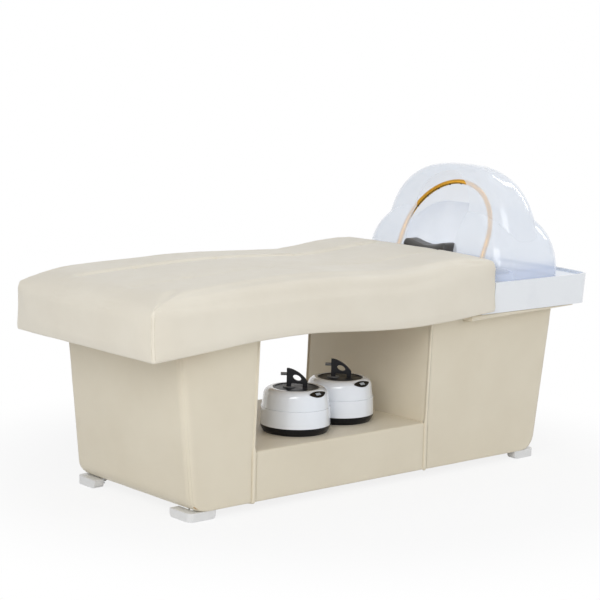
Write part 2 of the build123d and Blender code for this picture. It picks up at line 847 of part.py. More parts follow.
waste_height = trap_top - waste_drop
port_height = trap_low + port_rise
stub_radius = waste_radius + trap_wall
with BuildPart() as bottle_trap:
    with Locations((bowl_x, 0, trap_low)):
        Cylinder(trap_radius, trap_height, align=(Align.CENTER, Align.CENTER, Align.MIN))
    with BuildSketch(Plane.YZ.offset(bowl_x)):
        with Locations((0, waste_height)):
            Circle(stub_radius)
    extrude(amount=-trap_radius - trap_stub)
    with BuildSketch(Plane.XZ):
        with Locations((bowl_x, port_height)):
            Circle(hose_radius)
    extrude(amount=trap_radius + trap_stub)
    with Locations((bowl_x, 0, trap_low + trap_wall)):
        Cylinder(trap_radius - trap_wall, trap_height - 2 * trap_wall,
                 align=(Align.CENTER, Align.CENTER, Align.MIN), mode=Mode.SUBTRACT)
    with Locations((bowl_x, 0, trap_low + trap_height / 2)):
        Cylinder(tail_radius + seat_gap, trap_height, align=(Align.CENTER, Align.CENTER, Align.MIN),
                 mode=Mode.SUBTRACT)
    with BuildSketch(Plane.YZ.offset(bowl_x)):
        with Locations((0, waste_height)):
            Circle(waste_radius - waste_wall)
    extrude(amount=-trap_radius - trap_stub, mode=Mode.SUBTRACT)
    with BuildSketch(Plane.YZ.offset(bowl_x - trap_radius)):
        with Locations((0, waste_height)):
            Circle(waste_radius + seat_gap)
    extrude(amount=-trap_stub, mode=Mode.SUBTRACT)
    with BuildSketch(Plane.XZ):
        with Locations((bowl_x, port_height)):
            Circle(hose_radius - hose_wall)
    extrude(amount=trap_radius + trap_stub, mode=Mode.SUBTRACT)
write(bottle_trap.part, "bottle_trap")


def bend_radii(route, share):
    """Radius for each corner of a hose route, from the shorter run and the turn there."""
    radii = []
    for before, corner, after in zip(route, route[1:], route[2:]):
        first = Vector(*corner) - Vector(*before)
        second = Vector(*after) - Vector(*corner)
        half_turn = math.radians(first.get_angle(second)) / 2
        radii.append(share * min(first.length, second.length) / math.tan(half_turn))
    return radii


def tube_along(path, radius, bore):
    """Tube swept along a path of straight runs and tangent arcs."""
    start = path.position_at(0)
    with BuildPart() as tube:
        with BuildSketch(Plane(origin=start, z_dir=path.tangent_at(0))):
            Circle(radius)
            Circle(bore, mode=Mode.SUBTRACT)
        sweep(path=path)
    return tube.part


waste_line = FilletPolyline(
    (bowl_x - trap_radius - seat_gap, 0, waste_height),
    (waste_x, 0, waste_height),
    (waste_x, 0, foot_height - waste_stub),
    radius=waste_bend,
)
with BuildPart() as waste_pipe:
    add(tube_along(waste_line, waste_radius, waste_radius - waste_wall))
    with Locations((waste_x, 0, service_top - service_thickness - seat_gap)):
        Cylinder(waste_collar_radius, waste_collar_height, align=(Align.CENTER, Align.CENTER, Align.MAX))
        Cylinder(waste_radius - waste_wall, 4 * waste_collar_height, mode=Mode.SUBTRACT)
write(waste_pipe.part, "waste_pipe")

# Neck support and neck rest, in front of the bowl

neck_x = foot_x + neck_start + neck_length / 2
support_low = deck_height + seat_gap
support_top = support_low + neck_support_height
with BuildPart() as neck_support:
    with BuildSketch(Plane.XY.offset(support_low)):
        with Locations((neck_x, 0)):
            RectangleRounded(neck_length, neck_support_width, neck_round)
    extrude(amount=neck_support_height)
    with BuildSketch(Plane.XY.offset(support_low)):
        with Locations((neck_x, 0)):
            RectangleRounded(
                neck_length - 2 * neck_wall, neck_support_width - 2 * neck_wall, neck_round - neck_wall / 2
            )
    extrude(amount=neck_support_height - neck_wall, mode=Mode.SUBTRACT)
write(neck_support.part, "neck_support")

with BuildPart() as neck_rest:
    rest_low = support_top + seat_gap
    half = rest_width / 2
    side_high = rest_low + rest_side_rise
    with BuildSketch(Plane.YZ.offset(neck_x)):
        with BuildLine():
            Polyline(
                (-half + rest_shoulder, side_high), (-half, side_high - rest_shoulder), (-half, rest_low),
                (half, rest_low), (half, side_high - rest_shoulder), (half - rest_shoulder, side_high),
            )
            ThreePointArc(
                (half - rest_shoulder, side_high),
                (0, side_high - rest_dip),
                (-half + rest_shoulder, side_high),
            )
        make_face()
    extrude(amount=neck_length / 2 + rest_overhang, both=True)
    top_edges = neck_rest.edges().filter_by(GeomType.CIRCLE)
    fillet(top_edges, rest_round)
write(neck_rest.part, "neck_rest")

# Water ring: pivot brackets on the deck, the leaning arch of tube, its nozzles and two knobs

pivot_x = foot_x + ring_pivot_x
lean = math.radians(ring_lean_angle)
ring_plane = Plane(
    origin=(pivot_x, 0, ring_pivot_height), x_dir=(0, 1, 0), z_dir=(math.cos(lean), 0, -math.sin(lean))
)
with BuildLine(ring_plane) as ring_line:
    arch_top = ring_leg_length + ring_half_width
    Line((-ring_half_width, 0), (-ring_half_width, ring_leg_length))
    ThreePointArc(
        (-ring_half_width, ring_leg_length), (0, arch_top), (ring_half_width, ring_leg_length)
    )
    Line((ring_half_width, ring_leg_length), (ring_half_width, 0))
journal_end = bracket_y + bracket_width / 2 + knob_width / 2
with BuildPart() as ring_pipe:
    add(tube_along(ring_line.wires()[0], ring_tube_radius, ring_tube_bore))
    for side in (1, -1):
        hub_plane = Plane(origin=(pivot_x, side * ring_half_width, ring_pivot_height), z_dir=(0, side, 0))
        with BuildSketch(hub_plane):
            Circle(ring_hub_radius)
        extrude(amount=ring_hub_width / 2, both=True)
        with BuildSketch(hub_plane):
            Circle(journal_radius)
        extrude(amount=journal_end - ring_half_width)
        with BuildSketch(hub_plane):
            Circle(journal_radius - hose_wall)
        extrude(amount=journal_end - ring_half_width, mode=Mode.SUBTRACT)
write(ring_pipe.part, "ring_pipe")

for side, side_name in ((1, "far"), (-1, "near")):
    inner_face = side * (ring_half_width + ring_hub_width / 2 + bracket_gap)
    bracket_low = deck_height + seat_gap
    with BuildPart() as ring_bracket:
        with BuildSketch(Plane(origin=(pivot_x, inner_face, 0), z_dir=(0, side, 0), x_dir=(1, 0, 0))) as face:
            with BuildLine():
                rise = side * (bracket_low - ring_pivot_height)
                reach = bracket_radius
                top = -side * ring_pivot_height
                Polyline((-reach, top), (-reach, top - rise), (reach, top - rise), (reach, top))
                ThreePointArc((reach, top), (0, top - side * reach), (-reach, top))
            make_face()
        extrude(amount=bracket_width)
        with Locations((pivot_x, side * bracket_y, bracket_low + bracket_foot_height / 2)):
            Box(bracket_foot_length, bracket_foot_width, bracket_foot_height)
        with Locations((pivot_x, side * bracket_y, bracket_low)):
            Cylinder(stem_radius, stem_length, align=(Align.CENTER, Align.CENTER, Align.MAX))
        bore_plane = Plane(origin=(pivot_x, side * bracket_y, ring_pivot_height), z_dir=(0, 1, 0))
        with BuildSketch(bore_plane):
            Circle(journal_bore)
        extrude(amount=bracket_width, both=True, mode=Mode.SUBTRACT)
    write(ring_bracket.part, "ring_bracket_" + side_name)

with BuildPart() as ring_knobs:
    knob_start = bracket_y + bracket_width / 2 + bracket_gap
    knob_planes = [
        Plane(origin=(pivot_x, side * knob_start, ring_pivot_height), z_dir=(0, side, 0))
        for side in (1, -1)
    ]
    with BuildSketch(*knob_planes):
        Circle(knob_radius)
    extrude(amount=knob_width)
    ends = ring_knobs.edges().group_by(Axis.Y)
    fillet(ends[0] + ends[-1], knob_round)
    with BuildSketch(*knob_planes):
        Circle(journal_bore)
    extrude(amount=knob_width / 2, mode=Mode.SUBTRACT)
write(ring_knobs.part, "ring_knobs")

# Nozzles on the inner side of the arch

with BuildPart() as spray_nozzles:
    for count in range(nozzle_count):
        turn = math.radians(90 + nozzle_spread_angle * (count / (nozzle_count - 1) - 0.5))
        inward = (-math.cos(turn), -math.sin(turn))
        reach = ring_half_width - ring_tube_radius + nozzle_height / 2
        spot = ring_plane.from_local_coords(
            (-reach * inward[0], ring_leg_length - reach * inward[1], 0)
        )
        direction = ring_plane.from_local_coords((*inward, 0)) - ring_plane.origin
        with BuildSketch(Plane(origin=spot, z_dir=direction)):
            Circle(nozzle_radius)
        extrude(amount=nozzle_height)
    add(ring_pipe.part, mode=Mode.SUBTRACT)
    add(tube_along(ring_line.wires()[0], ring_tube_bore + seat_gap, seat_gap), mode=Mode.SUBTRACT)
write(spray_nozzles.part, "spray_nozzles")

# Circulation pump on its cradle, with the suction and pressure hoses

pump_x = foot_x + pump_middle
motor_end = pump_x + pump_length / 2
head_end = motor_end + pump_head_length
with BuildPart() as circulation_pump:
    with BuildSketch(Plane.YZ.offset(pump_x - pump_length / 2)):
        with Locations((pump_shift, pump_height)):
            Circle(pump_radius)
    extrude(amount=pump_length)
    with BuildSketch(Plane.YZ.offset(motor_end)):
        with Locations((pump_shift, pump_height)):
            Circle(pump_head_radius)
    extrude(amount=pump_head_length)
    with BuildSketch(Plane.YZ.offset(head_end)):
        with Locations((pump_shift, pump_height)):
            Circle(pump_port_radius)
    extrude(amount=pump_port_length)
    outlet_x = motor_end + pump_head_length / 2
    outlet_top = pump_height + pump_head_radius + pump_port_length
    with BuildSketch(Plane.XY.offset(pump_height)):
        with Locations((outlet_x, pump_shift)):
            Circle(pump_port_radius)
    extrude(amount=outlet_top - pump_height)
write(circulation_pump.part, "circulation_pump")

carcass_floor = foot_height + cover_thickness + ply_thickness + seat_gap
with BuildPart() as pump_cradle:
    with Locations((pump_x, pump_shift, carcass_floor)):
        Box(cradle_length, cradle_width, pump_height - carcass_floor - pump_radius / 2,
            align=(Align.CENTER, Align.CENTER, Align.MIN))
    with BuildSketch(Plane.YZ.offset(pump_x - cradle_length)):
        with Locations((pump_shift, pump_height)):
            Circle(pump_radius + seat_gap)
    extrude(amount=2 * cradle_length, mode=Mode.SUBTRACT)
write(pump_cradle.part, "pump_cradle")

suction_route = [
    (bowl_x, -(trap_radius + trap_stub + seat_gap), port_height),
    (bowl_x, -suction_side, port_height),
    (bowl_x - suction_step, -suction_side, (port_height + pump_height) / 2),
    (head_end + pump_port_length + suction_lead, pump_shift, pump_height),
    (head_end + pump_port_length + seat_gap, pump_shift, pump_height),
]
stem_low = deck_height + seat_gap - stem_length
pressure_route = [
    (outlet_x, pump_shift, outlet_top + seat_gap),
    (outlet_x, pump_shift, outlet_top + pressure_lead),
    (pivot_x, -pressure_side, stem_low - pressure_lead - pressure_drop),
    (pivot_x, -bracket_y, stem_low - pressure_lead),
    (pivot_x, -bracket_y, stem_low - seat_gap),
]
for hose_name, route in (("suction_hose", suction_route), ("pressure_hose", pressure_route)):
    radii = bend_radii(route, hose_bend_share)
    print(hose_name, "bend radii", [round(radius, 1) for radius in radii])
    hose_line = FilletPolyline(*route, radius=radii)
    write(tube_along(hose_line, hose_radius, hose_radius - hose_wall), hose_name)

# Steam hood: two rounded tiers, hollow, open below, with an arched opening for the neck

seal_low = deck_height + seat_gap
hood_low = seal_low + hood_seal_height + seat_gap


def tier_outline(height, middle, half_length, half_width, plan_power):
    """Closed rounded-box outline at one height: a superellipse, with its points spread by direction."""
    points = []
    for count in range(tier_point_count):
        turn = 2 * math.pi * count / tier_point_count
        reach = (abs(math.cos(turn)) ** plan_power + abs(math.sin(turn)) ** plan_power) ** (-1 / plan_power)
        along = half_length * reach * math.cos(turn)
        across = half_width * reach * math.sin(turn)
        points.append((foot_x + middle + along, across))
    with BuildSketch(Plane.XY.offset(height)) as outline:
        with BuildLine():
            Spline(*points, periodic=True)
        make_face()
    return outline.sketch


def tier_solid(middle, half_length, half_width, rise, profile_power, plan_power):
    """Dome of one tier, lofted through its outlines from the base up."""
    levels = []
    for size_share in tier_level_shares:
        rise_share = (1 - size_share ** profile_power) ** (1 / profile_power)
        levels.append(
            tier_outline(
                hood_low + rise * rise_share, middle,
                half_length * size_share, half_width * size_share, plan_power,
            )
        )
    return loft(levels)


def hood_tiers(wall):
    """Both tiers, drawn in by a wall."""
    with BuildPart() as tiers:
        add(tier_solid(
            lower_middle, lower_half_length - wall, lower_half_width - wall, lower_rise - wall,
            lower_profile_power, lower_plan_power,
        ))
        add(tier_solid(
            upper_middle, upper_half_length - wall, upper_half_width - wall, upper_rise - wall,
            upper_profile_power, upper_plan_power,
        ))
    return tiers.part


with BuildPart() as neck_opening:
    opening_x = foot_x + lower_middle - lower_half_length - overrun
    with BuildSketch(Plane.YZ.offset(opening_x)):
        with BuildLine():
            low = deck_height - overrun
            Polyline(
                (-opening_half, opening_middle), (-opening_low_half, hood_low), (-opening_low_half, low),
                (opening_low_half, low), (opening_low_half, hood_low), (opening_half, opening_middle),
            )
            ThreePointArc(
                (opening_half, opening_middle), (0, opening_middle + opening_half),
                (-opening_half, opening_middle),
            )
        make_face()
    extrude(amount=opening_depth)

with BuildPart() as hood_shell:
    add(hood_tiers(0))
    add(hood_tiers(hood_wall), mode=Mode.SUBTRACT)
    add(neck_opening.part, mode=Mode.SUBTRACT)
write(hood_shell.part, "hood_shell")

with BuildPart() as hood_seal:
    seal_outer = tier_outline(seal_low, lower_middle, lower_half_length, lower_half_width, lower_plan_power)
    seal_inner = tier_outline(
        seal_low, lower_middle, lower_half_length - hood_wall, lower_half_width - hood_wall,
        lower_plan_power,
    )
    extrude(seal_outer - seal_inner, amount=hood_seal_height)
    add(neck_opening.part, mode=Mode.SUBTRACT)
write(hood_seal.part, "hood_seal")

# Steamers: base, two shells, kettle on its heating plate, and a lid with gasket, handle and nozzle


def steamer(name, place, across):
    """One herbal steamer, standing in the bay at a place and a distance from the middle."""
    middle = (foot_x + bay_start + place, across)
    floor = bay_floor + seat_gap
    base_top = floor + steamer_base_height
    lower_low = base_top + seat_gap
    lower_top = lower_low + lower_shell_height
    upper_low = lower_top + seat_gap
    mouth_top = upper_low + upper_shell_height
    section_plane = Plane(origin=(*middle, 0), x_dir=(1, 0, 0), z_dir=(0, -1, 0))
    axis = Axis((*middle, 0), (0, 0, 1))

    with BuildPart() as base:
        with BuildSketch(section_plane):
            with BuildLine():
                Polyline((0, floor), (steamer_foot_radius, floor))
                RadiusArc((steamer_foot_radius, floor), (steamer_radius, base_top), -steamer_base_height * 2)
                Polyline((steamer_radius, base_top), (0, base_top), (0, floor))
            make_face()
        revolve(axis=axis)
        with Locations((*middle, base_top)):
            Cylinder(heater_radius + seat_gap, 2 * heater_seat, mode=Mode.SUBTRACT)
    write(base.part, name + "_base")

    with BuildPart() as heater:
        with Locations((*middle, base_top - heater_seat + seat_gap)):
            Cylinder(heater_radius, heater_height, align=(Align.CENTER, Align.CENTER, Align.MIN))
    write(heater.part, name + "_heating_plate")

    with BuildPart() as lower_shell:
        outer_low = steamer_radius
        outer_top = steamer_radius - lower_shell_draft
        with BuildSketch(section_plane):
            with BuildLine():
                Polyline(
                    (outer_low, lower_low), (outer_top, lower_top), (outer_top - shell_wall, lower_top),
                    (outer_low - shell_wall, lower_low), close=True,
                )
            make_face()
        revolve(axis=axis)
    write(lower_shell.part, name + "_lower_shell")

    side_low = outer_top - step_depth
    side_top = side_low - upper_shell_draft
    side_height = mouth_top - shoulder_rise
    lip = mouth_radius + mouth_thickness
    with BuildPart() as upper_shell:
        with BuildSketch(section_plane):
            with BuildLine():
                Line((side_low, upper_low), (side_top, side_height))
                tangent = (-upper_shell_draft, side_height - upper_low)
                shoulder = TangentArc((side_top, side_height), (lip, mouth_top), tangent=tangent)
                Polyline(
                    (lip, mouth_top), (mouth_radius, mouth_top), (mouth_radius, mouth_top - mouth_thickness),
                    (side_top - shell_wall, side_height - shell_wall), (side_low - shell_wall, upper_low),
                    (side_low, upper_low),
                )
            make_face()
        revolve(axis=axis)
        turn = math.radians(panel_angle)
        tilt = math.radians(panel_tilt)
        outward = (math.cos(turn), math.sin(turn))
        facet_point = (
            middle[0] + panel_reach * outward[0], middle[1] + panel_reach * outward[1],
            mouth_top - panel_drop,
        )
        facet_normal = (
            outward[0] * math.cos(tilt), outward[1] * math.cos(tilt), math.sin(tilt)
        )
        facet = Plane(origin=facet_point, x_dir=(-outward[1], outward[0], 0), z_dir=facet_normal)
        with BuildSketch(facet):
            Rectangle(2 * steamer_radius, steamer_radius)
        extrude(amount=shoulder_rise, mode=Mode.SUBTRACT)
    write(upper_shell.part, name + "_upper_shell")

    panel_plane = facet.offset(seat_gap)
    half = panel_length / 2
    with BuildPart() as panel:
        with BuildSketch(panel_plane):
            with BuildLine():
                ThreePointArc((-half, 0), (0, panel_width / 3), (half, 0))
                ThreePointArc((half, 0), (0, -2 * panel_width / 3), (-half, 0))
            outline = make_face()
            fillet(outline.vertices(), panel_corner_round)
        extrude(amount=panel_thickness)
    write(panel.part, name + "_panel")

    with BuildPart() as display:
        with BuildSketch(panel_plane.offset(panel_thickness + seat_gap)):
            with Locations((0, -panel_width / 6)):
                RectangleRounded(display_length, display_width, display_thickness)
        extrude(amount=display_thickness)
    write(display.part, name + "_display")

    flange_top = mouth_top - lid_height - gasket_height - seat_gap * 2
    kettle_low = base_top - heater_seat + heater_height + 2 * seat_gap
    with BuildPart() as kettle:
        with BuildSketch(section_plane):
            with BuildLine():
                flange_low = flange_top - kettle_flange_height
                inner = kettle_radius - kettle_wall
                Polyline(
                    (0, kettle_low), (kettle_radius, kettle_low), (kettle_radius, flange_low),
                    (kettle_flange_radius, flange_low), (kettle_flange_radius, flange_top),
                    (inner, flange_top), (inner, kettle_low + kettle_wall), (0, kettle_low + kettle_wall),
                    close=True,
                )
            make_face()
        revolve(axis=axis)
    write(kettle.part, name + "_kettle")

    gasket_low = flange_top + seat_gap
    with BuildPart() as gasket:
        with BuildSketch(Plane.XY.offset(gasket_low)):
            with Locations(middle):
                Circle(lid_radius)
                Circle(lid_radius - gasket_width, mode=Mode.SUBTRACT)
        extrude(amount=gasket_height)
    write(gasket.part, name + "_gasket")

    lid_low = gasket_low + gasket_height + lid_seat
    lid_top = lid_low + lid_height
    turn = math.radians(handle_angle)
    plate = Plane(
        origin=(*middle, lid_top - lid_drop + seat_gap),
        x_dir=(math.cos(turn), math.sin(turn), 0),
        z_dir=(math.sin(turn), -math.cos(turn), 0),
    )
    lid_plane = Plane(origin=plate.origin, x_dir=plate.x_dir, z_dir=(0, 0, 1))
    outlet_middle = -handle_left + handle_leg_width / 2
    riser_top = steam_nozzle_rise + steam_riser_radius
    nozzle_plane = Plane(
        origin=plate.from_local_coords((outlet_middle, steam_nozzle_rise, 0)),
        z_dir=(-math.cos(turn), -math.sin(turn), 0),
    )
    nozzle_reach = handle_leg_width / 2 + steam_nozzle_length
    with BuildPart() as lid:
        with Locations((*middle, lid_low)):
            Cylinder(lid_radius, lid_height, align=(Align.CENTER, Align.CENTER, Align.MIN))
        with Locations((*middle, lid_top)):
            Cylinder(lid_radius - lid_rim, 2 * lid_drop, mode=Mode.SUBTRACT)
        with BuildSketch(lid_plane):
            with Locations((outlet_middle, 0)):
                Circle(steam_riser_bore)
        extrude(amount=2 * lid_height, both=True, mode=Mode.SUBTRACT)
    write(lid.part, name + "_lid")

    with BuildPart() as handle:
        with BuildSketch(plate):
            with BuildLine():
                left = -handle_left
                right = handle_right
                Polyline(
                    (left, steam_disc_height + seat_gap), (left, handle_height),
                    (left + handle_leg_width / 2, handle_height),
                )
                ThreePointArc(
                    (left + handle_leg_width / 2, handle_height),
                    (handle_hole_x + handle_leg_width / 2, handle_height - handle_leg_width),
                    (right, handle_low_end),
                )
                Polyline(
                    (right, handle_low_end), (right, 0), (right - handle_leg_width, 0),
                    (right - handle_leg_width, handle_arch_low - steam_disc_height),
                    (left + handle_leg_width, handle_arch_low),
                    (left + handle_leg_width, steam_disc_height + seat_gap),
                    (left, steam_disc_height + seat_gap),
                )
            make_face()
            with Locations((handle_hole_x, handle_hole_z)):
                Ellipse(handle_hole_length / 2, handle_hole_height / 2, rotation=handle_hole_angle,
                        mode=Mode.SUBTRACT)
        extrude(amount=handle_thickness / 2, both=True)
        with BuildSketch(lid_plane):
            with Locations((outlet_middle, 0)):
                Circle(steam_riser_radius + seat_gap)
        extrude(amount=riser_top + seat_gap, mode=Mode.SUBTRACT)
        with BuildSketch(nozzle_plane):
            Circle(steam_nozzle_radius + seat_gap)
        extrude(amount=nozzle_reach, mode=Mode.SUBTRACT)
    write(handle.part, name + "_handle")

    with BuildPart() as outlet:
        with BuildSketch(lid_plane):
            with Locations((outlet_middle, 0)):
                Circle(steam_disc_radius)
        extrude(amount=steam_disc_height)
        with BuildSketch(lid_plane):
            with Locations((outlet_middle, 0)):
                Circle(steam_riser_radius)
        extrude(amount=riser_top)
        with BuildSketch(nozzle_plane):
            Circle(steam_nozzle_radius)
        extrude(amount=nozzle_reach)
        with BuildSketch(lid_plane):
            with Locations((outlet_middle, 0)):
                Circle(steam_riser_bore)
        extrude(amount=steam_nozzle_rise, mode=Mode.SUBTRACT)
        with BuildSketch(nozzle_plane):
            Circle(steam_nozzle_bore)
        extrude(amount=nozzle_reach, mode=Mode.SUBTRACT)
    write(outlet.part, name + "_steam_outlet")


for steamer_name, steamer_place in steamer_places.items():
    steamer(steamer_name, *steamer_place)
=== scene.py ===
import bpy
import json
import math
from mathutils import Matrix, Vector, noise


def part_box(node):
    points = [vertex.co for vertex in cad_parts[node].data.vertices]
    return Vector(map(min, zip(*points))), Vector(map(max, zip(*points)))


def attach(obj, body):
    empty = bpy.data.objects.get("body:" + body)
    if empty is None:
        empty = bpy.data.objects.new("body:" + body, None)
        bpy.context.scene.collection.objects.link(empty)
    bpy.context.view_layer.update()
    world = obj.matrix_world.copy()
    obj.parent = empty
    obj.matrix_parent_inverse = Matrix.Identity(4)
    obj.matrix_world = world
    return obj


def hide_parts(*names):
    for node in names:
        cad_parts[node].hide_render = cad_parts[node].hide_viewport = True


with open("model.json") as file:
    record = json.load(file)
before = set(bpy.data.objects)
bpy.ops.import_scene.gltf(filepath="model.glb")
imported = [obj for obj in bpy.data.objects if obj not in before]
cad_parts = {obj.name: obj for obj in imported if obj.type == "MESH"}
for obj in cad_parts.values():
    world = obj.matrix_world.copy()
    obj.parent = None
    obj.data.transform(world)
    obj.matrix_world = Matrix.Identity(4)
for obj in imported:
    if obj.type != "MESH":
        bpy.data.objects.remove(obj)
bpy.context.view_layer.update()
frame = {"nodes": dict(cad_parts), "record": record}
nodes = frame["nodes"]
slot_of = {row["node"]: row["material_slot"] for row in frame["record"]["subparts"]}

# Studio. A white sweep with a pale floor under soft boxes, and the camera where the
# photograph was taken: low, five metres off the near foot corner, with a long lens.
camera_spot = Vector((-3.9271, -4.4507, 1.4558))
camera_yaw = math.radians(49.3217)
camera_dip = math.radians(8.559)
camera_roll = math.radians(1.3077)
ahead = Vector((
    math.cos(camera_dip) * math.cos(camera_yaw),
    math.cos(camera_dip) * math.sin(camera_yaw),
    -math.sin(camera_dip),
))
level_right = Vector((math.sin(camera_yaw), -math.cos(camera_yaw), 0))
level_up = level_right.cross(ahead)
right = level_right * math.cos(camera_roll) + level_up * math.sin(camera_roll)
up = level_up * math.cos(camera_roll) - level_right * math.sin(camera_roll)
camera = bpy.data.objects.new("camera", bpy.data.cameras.new("camera"))
camera.data.lens = 109.77
camera.data.sensor_width = 36
camera.matrix_world = Matrix((
    (right.x, up.x, -ahead.x, camera_spot.x),
    (right.y, up.y, -ahead.y, camera_spot.y),
    (right.z, up.z, -ahead.z, camera_spot.z),
    (0, 0, 0, 1),
))
scene = bpy.context.scene
scene.collection.objects.link(camera)
scene.camera = camera
scene.view_settings.view_transform = "Standard"


def soft_box(name, spot, aim, width, height, watts, roll=0.0):
    """Large soft light at a spot, turned towards a point and rolled about that line."""
    lamp = bpy.data.objects.new(name, bpy.data.lights.new(name, "AREA"))
    lamp.data.shape = "RECTANGLE"
    lamp.data.size = width
    lamp.data.size_y = height
    lamp.data.energy = watts
    lamp.location = spot
    lamp.rotation_euler = (Vector(aim) - Vector(spot)).to_track_quat("-Z", "Y").to_euler()
    lamp.rotation_euler.rotate_axis("Z", roll)
    scene.collection.objects.link(lamp)
    return lamp


soft_box("front_box", (-4.1, -2.9, 2.9), (0, 0, 0.4), 4.0, 3.0, 130)
side_box = soft_box("side_box", (2.6, -4.2, 2.0), (0.2, 0, 0.5), 1.8, 1.8, 30)
side_box.visible_glossy = False
soft_box("top_box", (0.4, 0.8, 4.2), (0, 0, 0.4), 3.2, 2.2, 10)
soft_box("rim_strip", (2.95, -0.25, 2.78), (0.65, -0.25, 0.85), 2.7, 0.17, 20, math.radians(36.6))


def sees_backdrop(tree):
    """1 for the rays that look at the backdrop: from the camera, off gloss or through glass."""
    rays = tree.nodes.new("ShaderNodeLightPath")
    both = tree.nodes.new("ShaderNodeMath")
    both.operation = "MAXIMUM"
    tree.links.new(rays.outputs["Is Glossy Ray"], both.inputs[0])
    tree.links.new(rays.outputs["Is Transmission Ray"], both.inputs[1])
    seen = tree.nodes.new("ShaderNodeMath")
    seen.operation = "MAXIMUM"
    tree.links.new(rays.outputs["Is Camera Ray"], seen.inputs[0])
    tree.links.new(both.outputs[0], seen.inputs[1])
    return seen.outputs[0]


world = bpy.data.worlds.new("studio")
scene.world = world
world.use_nodes = True
tree = world.node_tree
room = tree.nodes["Background"]
room.inputs["Color"].default_value = (0.94, 0.96, 1.0, 1)
room.inputs["Strength"].default_value = 0.40
backdrop = tree.nodes.new("ShaderNodeBackground")
backdrop.inputs["Color"].default_value = (1, 1, 1, 1)
backdrop.inputs["Strength"].default_value = 1
pick = tree.nodes.new("ShaderNodeMixShader")
tree.links.new(sees_backdrop(tree), pick.inputs[0])
tree.links.new(room.outputs[0], pick.inputs[1])
tree.links.new(backdrop.outputs[0], pick.inputs[2])
tree.links.new(pick.outputs[0], tree.nodes["World Output"].inputs["Surface"])

floor_reach = 9.0
floor_sides = 96
shadow_reach, blank_reach = 0.8, 1.5
floor_mesh = bpy.data.meshes.new("floor")
floor_turns = [math.tau * step / floor_sides for step in range(floor_sides)]
floor_rim = [(floor_reach * math.cos(turn), floor_reach * math.sin(turn), 0) for turn in floor_turns]
floor_mesh.from_pydata(floor_rim, [], [list(range(floor_sides))])
floor = bpy.data.objects.new("floor", floor_mesh)
scene.collection.objects.link(floor)
floor_finish = bpy.data.materials.new("pale floor")
floor_finish.use_nodes = True
tree = floor_finish.node_tree
painted = tree.nodes["Principled BSDF"]
painted.inputs["Base Color"].default_value = (0.86, 0.86, 0.86, 1)
painted.inputs["Roughness"].default_value = 0.9
painted.inputs["Specular IOR Level"].default_value = 0.1
glow = tree.nodes.new("ShaderNodeEmission")
glow.inputs["Strength"].default_value = 1
place = tree.nodes.new("ShaderNodeNewGeometry")
span = tree.nodes.new("ShaderNodeVectorMath")
span.operation = "LENGTH"
tree.links.new(place.outputs["Position"], span.inputs[0])
fade = tree.nodes.new("ShaderNodeMapRange")
fade.interpolation_type = "SMOOTHSTEP"
fade.inputs["From Min"].default_value = shadow_reach
fade.inputs["From Max"].default_value = blank_reach
fade.inputs["To Min"].default_value = 0.84
fade.inputs["To Max"].default_value = 1.0
tree.links.new(span.outputs["Value"], fade.inputs["Value"])
share = tree.nodes.new("ShaderNodeMath")
share.operation = "MULTIPLY"
tree.links.new(fade.outputs[0], share.inputs[0])
tree.links.new(sees_backdrop(tree), share.inputs[1])
pick = tree.nodes.new("ShaderNodeMixShader")
tree.links.new(share.outputs[0], pick.inputs[0])
tree.links.new(painted.outputs[0], pick.inputs[1])
tree.links.new(glow.outputs[0], pick.inputs[2])
tree.links.new(pick.outputs[0], tree.nodes["Material Output"].inputs["Surface"])
floor_mesh.materials.append(floor_finish)

# Corner feet. Four L-shaped blocks moulded in white plastic, each held up into the carcass by
# two countersunk screws. Soles lightly scuffed.


def linear(red, green, blue):
    """Colour as a screen shows it, 0 to 255, turned into the shader's linear values."""
    return tuple(
        ((part / 255 + 0.055) / 1.055) ** 2.4 if part > 10 else part / 3295
        for part in (red, green, blue)
    ) + (1,)


def effect_group(name, inputs):
    """Empty node group with named inputs and the outputs Colour, Roughness and Height."""
    group = bpy.data.node_groups.new(name, "ShaderNodeTree")
    for label, kind, value in inputs:
        made = group.interface.new_socket(label, in_out="INPUT", socket_type=kind)
        made.default_value = value
    for label, kind in (("Colour", "Color"), ("Roughness", "Float"), ("Height", "Float")):
        group.interface.new_socket(label, in_out="OUTPUT", socket_type="NodeSocket" + kind)
    add = group.nodes.new
    return group, add("NodeGroupInput"), add("NodeGroupOutput"), add("ShaderNodeTexCoord")


def noise_node(group, coords, scale, detail=3.0, rough=0.5, stretch=None, linked=None):
    """Noise texture on object coordinates, stretched if asked, with its scale linked if asked."""
    texture = group.nodes.new("ShaderNodeTexNoise")
    texture.inputs["Scale"].default_value = scale
    texture.inputs["Detail"].default_value = detail
    texture.inputs["Roughness"].default_value = rough
    source = coords.outputs["Object"]
    if stretch:
        mapping = group.nodes.new("ShaderNodeMapping")
        mapping.inputs["Scale"].default_value = stretch
        group.links.new(source, mapping.inputs["Vector"])
        source = mapping.outputs[0]
    group.links.new(source, texture.inputs["Vector"])
    if linked:
        group.links.new(linked, texture.inputs["Scale"])
    return texture.outputs["Fac"]


def ranged(group, source, low, high, from_low=0.3, from_high=0.7):
    """A value spread between two others, which may be numbers or sockets."""
    spread = group.nodes.new("ShaderNodeMapRange")
    spread.inputs["From Min"].default_value = from_low
    spread.inputs["From Max"].default_value = from_high
    group.links.new(source, spread.inputs["Value"])
    for socket, value in (("To Min", low), ("To Max", high)):
        if isinstance(value, (int, float)):
            spread.inputs[socket].default_value = value
        else:
            group.links.new(value, spread.inputs[socket])
    return spread.outputs[0]


